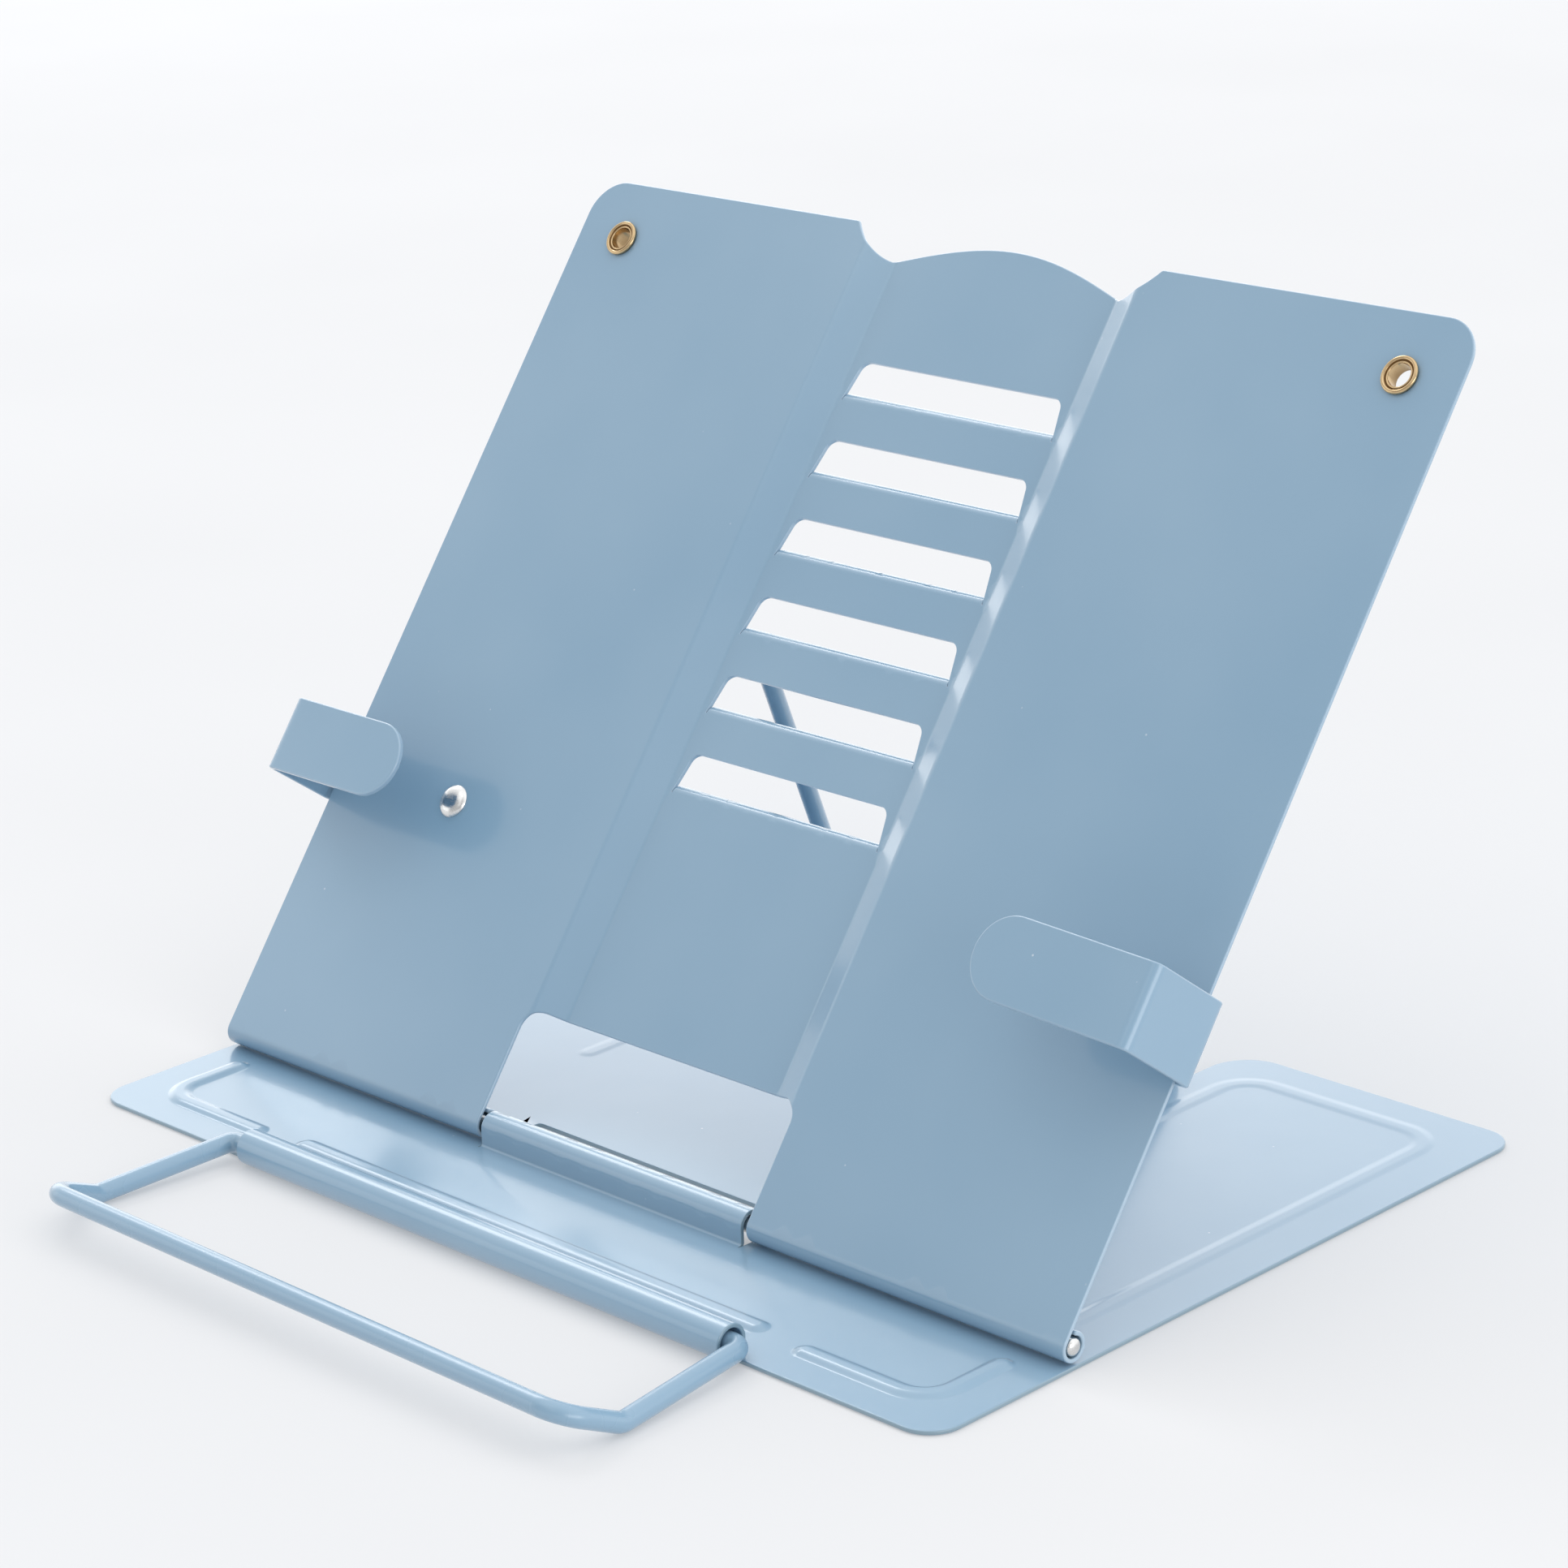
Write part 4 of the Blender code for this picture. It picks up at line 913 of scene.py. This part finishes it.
def make_rivet(word, side):
    """A rivet's domed head and tail, quarter ellipses on a straight shank, and the washer behind the arm."""
    head = WING_MID - SHEET / 2 - HAIR
    strip_back = ARM_REAR_Y + ARM_SHEET / 2
    tail = strip_back + ARM_WASHER + SLIDE_GAP
    dome = np.radians([80, 65, 50, 35, 20, 6])
    front = np.stack([RIVET_HEAD_R * np.cos(dome), head - RIVET_HEAD * np.sin(dome)], 1)
    back = np.stack([RIVET_TAIL_R * np.cos(dome), tail + RIVET_TAIL * np.sin(dome)], 1)
    shank = [(RIVET_HEAD_R, head - 0.1), (RIVET_HEAD_R - 0.1, head), (RIVET_R, head)]
    shank += [(RIVET_R, tail), (RIVET_TAIL_R - 0.1, tail), (RIVET_TAIL_R, tail + 0.1)]
    profile = np.concatenate([[[0, head - RIVET_HEAD]], front, shank, back[::-1], [[0, tail + RIVET_TAIL]]])
    spin = on_wing(side * RIVET_X, ARM_UP)
    turned("rivet_" + word, profile, spin, plate_place, "plate", "arm_rivet_" + word, "bare_steel")
    ring = ring_profile(RIVET_R + 0.25, ARM_WASHER_R, strip_back + SLIDE_GAP / 2, ARM_WASHER)
    turned("washer_" + word, ring, spin, plate_place, "plate", "arm_washer_" + word, "bare_steel")


def make_eyelet(word, side):
    """A thin rounded lip round the bore, a groove, a rounded crest at the rim's edge, a barrel through the wing and a
    curl behind it. Painted shade with some tarnish darkens the groove, and painted shade darkens the bore thinly."""
    rim = WING_MID - SHEET / 2 - HAIR
    curl = WING_MID + SHEET / 2 + EYELET_WASHER + 0.05 + EYELET_LONGER[word]
    barrel = EYELET_BORE_R + EYELET_WALL
    crest = EYELET_CREST_R
    angle = np.linspace(np.radians(10), np.pi, 17)
    ridge = [EYELET_RIM_R - crest + crest * -np.cos(angle), rim - EYELET_RIM + crest - crest * np.sin(angle)]
    angle = np.linspace(0, np.radians(160), 11)
    lip = [EYELET_BORE_R + EYELET_LIP_R * (1 - np.cos(angle)), rim - EYELET_LIP_OUT - EYELET_LIP_R * np.sin(angle)]
    front = np.concatenate([np.stack(lip, 1), [[EYELET_GROOVE_R, rim - EYELET_LIP_OUT]], np.stack(ridge, 1)])
    angle = np.linspace(0, np.pi, 11)
    curl_mid = (EYELET_BORE_R + EYELET_CURL_R) / 2
    curl_half = (EYELET_CURL_R - EYELET_BORE_R) / 2
    back = np.stack([curl_mid + curl_half * np.cos(angle), curl + EYELET_CURL * np.sin(angle)], 1)
    profile = np.concatenate([front, [[EYELET_RIM_R - 0.15, rim + HAIR], [barrel, rim + HAIR], [barrel, curl]], back])
    # Painted shade with some tarnish: full in the groove, 0.6 on the rim's back, the barrel and the curl, fading along
    # the bore
    groove_shade_and_tarnish = np.clip(1.8 * (1 - np.abs(profile[:, 0] - EYELET_GROOVE_R) / EYELET_GROOVE_SHADE_HALF), 0, 1)
    groove_shade_and_tarnish = np.where(profile[:, 1] > rim - EYELET_LIP_OUT + 0.01, 0.6, groove_shade_and_tarnish)
    spin = on_wing(side * EYELET_X, EYELET_UP)
    turned("eyelet_ring_" + word, profile, spin, plate_place, "plate", "eyelet_" + word, "brass", groove=groove_shade_and_tarnish)
    ring = ring_profile(barrel + 0.1, EYELET_WASHER_R, WING_MID + SHEET / 2 + HAIR, EYELET_WASHER)
    turned("eyelet_back_" + word, ring, spin, plate_place, "plate", "eyelet_washer_" + word, "brass")


# Finishes


def group_of(name, inputs, outputs):
    """A node group with named number or colour inputs and outputs, what it is given, and a way to link a result."""
    group = bpy.data.node_groups.new(name, "ShaderNodeTree")
    kinds = {float: "NodeSocketFloat", tuple: "NodeSocketColor"}
    for label, value in inputs.items():
        socket = group.interface.new_socket(label, in_out="INPUT", socket_type=kinds[type(value)])
        socket.default_value = (*value, 1.0) if isinstance(value, tuple) else value
    for label, kind in outputs.items():
        group.interface.new_socket(label, in_out="OUTPUT", socket_type=kinds[kind])
    given, out = group.nodes.new("NodeGroupInput").outputs, group.nodes.new("NodeGroupOutput").inputs
    return group, given, lambda label, value: group.links.new(value, out[label])


def node(tree, kind, settings=None, **links):
    """A node with its settings and inputs. An input is a number, a colour or another node's output. Input names
    have underscores for spaces, and inNUMBER stands for a place in the list."""
    made = tree.nodes.new(kind)
    for label, value in (settings or {}).items():
        setattr(made, label, value)
    for label, value in links.items():
        by_place = label[:2] == "in" and label[2:].isdigit()
        socket = made.inputs[int(label[2:]) if by_place else label.replace("_", " ")]
        if isinstance(value, bpy.types.NodeSocket):
            tree.links.new(value, socket)
        else:
            socket.default_value = value
    return made


def noise(tree, where, scale, detail=2.0, rough=0.5):
    """Cloudy noise at this scale per metre."""
    return node(tree, "ShaderNodeTexNoise", Vector=where, Scale=scale, Detail=detail, Roughness=rough).outputs["Fac"]


def times(tree, first, second):
    """The product of two inputs."""
    return node(tree, "ShaderNodeMath", {"operation": "MULTIPLY"}, in0=first, in1=second).outputs[0]


def plus(tree, first, second, clamp=False):
    """The sum of two inputs, clamped between 0 and 1 where asked."""
    return node(tree, "ShaderNodeMath", {"operation": "ADD", "use_clamp": clamp}, in0=first, in1=second).outputs[0]


def remap(tree, value, low, high, to_low, to_high):
    """A straight line from one range to another, held at its ends."""
    return node(tree, "ShaderNodeMapRange", in0=value, in1=low, in2=high, in3=to_low, in4=to_high).outputs[0]


def mix_colour(tree, share, first, second, blend="MIX"):
    """The second colour over the first by this share."""
    made = tree.nodes.new("ShaderNodeMix")
    made.data_type = "RGBA"
    made.blend_type = blend
    for socket, value in ((made.inputs["Factor"], share), (made.inputs["A"], first), (made.inputs["B"], second)):
        if isinstance(value, bpy.types.NodeSocket):
            tree.links.new(value, socket)
        else:
            socket.default_value = value if isinstance(value, float) else (*value, 1.0)
    return made.outputs["Result"]


def cast_coat():
    """Fine orange peel and a slower drift in a sprayed and baked coat, with a little settled dust, and painted light
    on the rims: a pale highlight on the plate and arms, shade on the base.
    """
    group, given, link_out = group_of(
        "Sprayed coat",
        {
            "Colour": COAT_COLOUR, "Drift": 0.5, "Edge": 0.0, "Edge Highlight And Shade Amount": 0.3,
            "Edge Highlight And Shade Colour": PLATE_EDGE_HIGHLIGHT_COLOUR, "Gloss": 0.4, "Gloss Drift": 0.05,
        },
        {"Colour": tuple, "Roughness": float, "Height": float},
    )
    where = group.nodes.new("ShaderNodeTexCoord").outputs["Object"]
    slow = noise(group, where, DRIFT_SCALE, 3.0)
    patch = noise(group, where, PATCH_SCALE, 2.0)
    peel = noise(group, where, PEEL_SCALE, 2.0, 0.4)
    grain = noise(group, where, GRAIN_SCALE, 1.0)
    drift = times(group, remap(group, slow, 0.3, 0.7, -0.5, 0.5), given["Drift"])
    darker = mix_colour(group, 1.0, given["Colour"], COAT_LOW_TINT, "MULTIPLY")
    lighter = mix_colour(group, 0.12, given["Colour"], COAT_HIGH_TINT)
    shade = mix_colour(group, plus(group, drift, 0.5, True), darker, lighter)
    # Painted edge light: the rims mixed toward a pale highlight on the plate and arms and toward shade on the base
    edge = times(group, given["Edge"], given["Edge Highlight And Shade Amount"])
    shade = mix_colour(group, edge, shade, given["Edge Highlight And Shade Colour"])
    dust = node(group, "ShaderNodeTexVoronoi", {"feature": "F1"}, Vector=where, Scale=DUST_SCALE)
    dot = remap(group, dust.outputs["Distance"], 0.045, 0.015, 0.0, 1.0)
    speck = times(group, dot, remap(group, patch, 0.56, 0.62, 0.0, 0.5))
    shade = mix_colour(group, speck, shade, DUST_COLOUR)
    link_out("Colour", shade)
    gloss = times(group, remap(group, patch, 0.3, 0.7, -1.0, 1.0), given["Gloss Drift"])
    gloss = plus(group, given["Gloss"], gloss)
    gloss = plus(group, gloss, times(group, speck, 0.3), True)
    link_out("Roughness", gloss)
    height = plus(group, peel, times(group, grain, 0.25))
    height = plus(group, height, times(group, speck, 0.6))
    link_out("Height", height)
    return group


def metal_wear():
    """Fine scratches, rubbed patches and a tarnish that darkens a bare metal's colour, with painted shade from a mark
    added to the tarnish.
    """
    group, given, link_out = group_of(
        "Rubbed metal",
        {
            "Colour": STEEL_COLOUR, "Tarnish And Shade Colour": STEEL_TARNISH, "Tarnish": 0.3,
            "Groove Shade": 0.0, "Gloss": 0.25, "Scratch": 0.1,
        },
        {"Colour": tuple, "Roughness": float, "Height": float},
    )
    where = group.nodes.new("ShaderNodeTexCoord").outputs["Object"]
    patch = noise(group, where, RUB_SCALE, 3.0)
    fine = noise(group, where, FINE_RUB_SCALE, 2.0)
    stretch = node(group, "ShaderNodeMapping", Vector=where, Scale=SCRATCH_SCALE)
    lines = noise(group, stretch.outputs[0], 1.0, 2.0)
    share = times(group, remap(group, patch, 0.42, 0.7, 0.0, 1.0), given["Tarnish"])
    # A mark adds painted shade, with some tarnish, in the brass eyelets' grooves and bores
    share = plus(group, share, given["Groove Shade"], True)
    link_out("Colour", mix_colour(group, share, given["Colour"], given["Tarnish And Shade Colour"]))
    rough = plus(group, given["Gloss"], times(group, share, 0.4))
    scratch = times(group, remap(group, lines, 0.4, 0.7, 0.0, 1.0), given["Scratch"])
    link_out("Roughness", plus(group, rough, scratch, True))
    height = plus(group, lines, times(group, fine, 0.5))
    link_out("Height", height)
    return group


def new_material(name):
    """A material, its nodes and its shader."""
    material = bpy.data.materials.new(name)
    material.use_nodes = True
    return material, material.node_tree, material.node_tree.nodes["Principled BSDF"]


def finish_with(name, group, values, metallic, bump, bump_distance, mark=None, coat=0.0, coat_roughness=0.13):
    """A material: the group's colour, roughness and height on a Principled shader. A mark is a mesh attribute's name,
    the group's input that it feeds and the factor between."""
    material, tree, shader = new_material(name)
    effect = tree.nodes.new("ShaderNodeGroup")
    effect.node_tree = group
    for label, value in values.items():
        effect.inputs[label].default_value = (*value, 1.0) if isinstance(value, tuple) else value
    if mark:
        attribute = node(tree, "ShaderNodeAttribute", {"attribute_name": mark[0]})
        share = times(tree, attribute.outputs["Fac"], mark[2])
        tree.links.new(share, effect.inputs[mark[1]])
    tree.links.new(effect.outputs["Colour"], shader.inputs["Base Color"])
    tree.links.new(effect.outputs["Roughness"], shader.inputs["Roughness"])
    lift = node(tree, "ShaderNodeBump", Strength=bump, Distance=bump_distance, Height=effect.outputs["Height"])
    tree.links.new(lift.outputs["Normal"], shader.inputs["Normal"])
    shader.inputs["Metallic"].default_value = metallic
    shader.inputs["Coat Weight"].default_value = coat
    shader.inputs["Coat Roughness"].default_value = coat_roughness
    shader.inputs["IOR"].default_value = COAT_IOR
    return material


# Making it all

base = make_base()
make_plate()
make_arm("left")
make_arm("right")
wires = [make_prop(), make_bail()]
make_pin()
for word, side in (("left", -1), ("right", 1)):
    make_rivet(word, side)
    make_eyelet(word, side)

coat_group = cast_coat()
metal_group = metal_wear()
# Two coats alike but for their rims: painted highlights on the plate and arms, painted shade on the base
sheet_coat, base_coat = [
    finish_with(
        name,
        coat_group,
        {"Colour": COAT_COLOUR, "Drift": 0.5, **edge, "Gloss": 0.33, "Gloss Drift": 0.02},
        metallic=0.0,
        bump=0.06,
        bump_distance=COAT_BUMP,
        mark=("cut_edge", "Edge", 1.0),
        coat=1.0,
    )
    for name, edge in (
        ("Pale blue coat with painted edge highlights", {"Edge Highlight And Shade Amount": 0.2, "Edge Highlight And Shade Colour": PLATE_EDGE_HIGHLIGHT_COLOUR}),
        ("Pale blue coat on the base with painted edge shade", {"Edge Highlight And Shade Amount": 0.55, "Edge Highlight And Shade Colour": BASE_EDGE_SHADE_COLOUR}),
    )
]
wire_coat = finish_with(
    "Pale blue coat on wire",
    coat_group,
    {"Colour": COAT_COLOUR, "Drift": 0.2, "Gloss": 0.28, "Gloss Drift": 0.02},
    metallic=0.0,
    bump=0.05,
    bump_distance=COAT_BUMP,
    coat=1.0,
    coat_roughness=0.24,
)
steel = finish_with(
    "Bright steel",
    metal_group,
    {"Colour": STEEL_COLOUR, "Tarnish And Shade Colour": STEEL_TARNISH, "Tarnish": 0.3, "Gloss": 0.16, "Scratch": 0.12},
    metallic=1.0,
    bump=0.12,
    bump_distance=0.00003,
)
brass = finish_with(
    "Polished brass",
    metal_group,
    {"Colour": BRASS_COLOUR, "Tarnish And Shade Colour": BRASS_TARNISH_AND_SHADE, "Tarnish": 0.12, "Gloss": 0.10, "Scratch": 0.04},
    metallic=1.0,
    bump=0.05,
    bump_distance=0.00002,
    # Painted shade with some tarnish in the eyelets' grooves and bores
    mark=("groove", "Groove Shade", 0.9),
)
metals = {"bare_steel": steel, "brass": brass}
for thing in bpy.data.objects:
    if "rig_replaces" in thing:
        coat = wire_coat if thing in wires else base_coat if thing == base else sheet_coat
        thing.data.materials.append(metals.get(thing["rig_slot"], coat))

# The table, the light and the camera


def add_floor():
    """A plain pale table top, far wider than the view. A faint glow of its own keeps the shadows on it light."""
    mesh = bpy.data.meshes.new("table")
    corners = [(x * TABLE_REACH, y * TABLE_REACH, TABLE_LOW) for x, y in ((-1, -1), (1, -1), (1, 1), (-1, 1))]
    mesh.from_pydata(corners, [], [(0, 1, 2, 3)])
    table = add_object("table", mesh)
    material, tree, shader = new_material("Pale table")
    where = tree.nodes.new("ShaderNodeTexCoord").outputs["Object"]
    cloud = noise(tree, where, TABLE_CLOUD_SCALE, 2.0)
    colour = mix_colour(tree, remap(tree, cloud, 0.3, 0.7, 0.0, 1.0), *TABLE_COLOURS)
    tree.links.new(colour, shader.inputs["Base Color"])
    shader.inputs["Roughness"].default_value = 0.6
    shader.inputs["Specular IOR Level"].default_value = 0.0
    shader.inputs["Emission Color"].default_value = (*ROOM_COLOUR, 1.0)
    shader.inputs["Emission Strength"].default_value = TABLE_GLOW
    mesh.materials.append(material)


def add_lamp(name, place, aim, size, power):
    """A soft white lamp that lights the stand and shows in its gloss, but not in the view itself."""
    lamp = bpy.data.lights.new(name, "AREA")
    lamp.shape = "RECTANGLE"
    lamp.size, lamp.size_y = size
    lamp.energy = power
    thing = add_object(name, lamp)
    thing.location = place
    thing.rotation_euler = (Vector(aim) - Vector(place)).to_track_quat("-Z", "Y").to_euler()
    thing.visible_camera = False


def make_room():
    """A white room that is brighter behind the stand than in front of it. A view ray that meets no object sees a
    plain pale wall."""
    world = bpy.data.worlds.new("Soft room")
    world.use_nodes = True
    tree = world.node_tree
    background = tree.nodes["Background"]
    direction = tree.nodes.new("ShaderNodeTexCoord").outputs["Generated"]
    toward = node(tree, "ShaderNodeVectorMath", {"operation": "DOT_PRODUCT"}, in0=direction, in1=ROOM_BRIGHT_SIDE)
    smooth = {"interpolation_type": "SMOOTHSTEP"}
    ends = {"in1": -0.7, "in2": 0.3, "in3": ROOM_DARK, "in4": ROOM_BRIGHT}
    share = node(tree, "ShaderNodeMapRange", smooth, in0=toward.outputs["Value"], **ends)
    seen = tree.nodes.new("ShaderNodeLightPath").outputs["Is Camera Ray"]
    unseen = node(tree, "ShaderNodeMath", {"operation": "SUBTRACT"}, in0=1.0, in1=seen).outputs[0]
    level = times(tree, share.outputs[0], unseen)
    level = plus(tree, level, times(tree, seen, WALL_LEVEL))
    tree.links.new(level, background.inputs["Strength"])
    background.inputs["Color"].default_value = (*ROOM_COLOUR, 1.0)
    bpy.context.scene.world = world


add_floor()
for lamp in LAMPS:
    add_lamp(*lamp)
make_room()
bpy.context.scene.view_settings.view_transform = "Standard"


def add_camera():
    """The photo's camera: a level direction to the right turned by the yaw, the view tipped down by the pitch, and
    both the level and the upright direction turned about the view by the roll."""
    yaw_x, yaw_y = math.cos(CAMERA_YAW), math.sin(CAMERA_YAW)
    level = np.array([yaw_x, yaw_y, 0])
    ahead = np.array([-yaw_y * math.cos(CAMERA_PITCH), yaw_x * math.cos(CAMERA_PITCH), -math.sin(CAMERA_PITCH)])
    above = np.cross(level, ahead)
    right = level * math.cos(CAMERA_ROLL) + above * math.sin(CAMERA_ROLL)
    top = above * math.cos(CAMERA_ROLL) - level * math.sin(CAMERA_ROLL)
    camera = add_object("camera", bpy.data.cameras.new("camera"))
    place = Matrix.Translation((np.array(CAMERA_PLACE) + [0, HINGE_Y, 0]) * MM)
    camera.matrix_world = place @ Matrix(np.stack([right, top, -ahead], 1)).to_4x4()
    camera.data.sensor_width = SENSOR
    camera.data.lens = CAMERA_LENS
    camera.data.shift_x, camera.data.shift_y = CAMERA_SHIFT
    bpy.context.scene.camera = camera


add_camera()
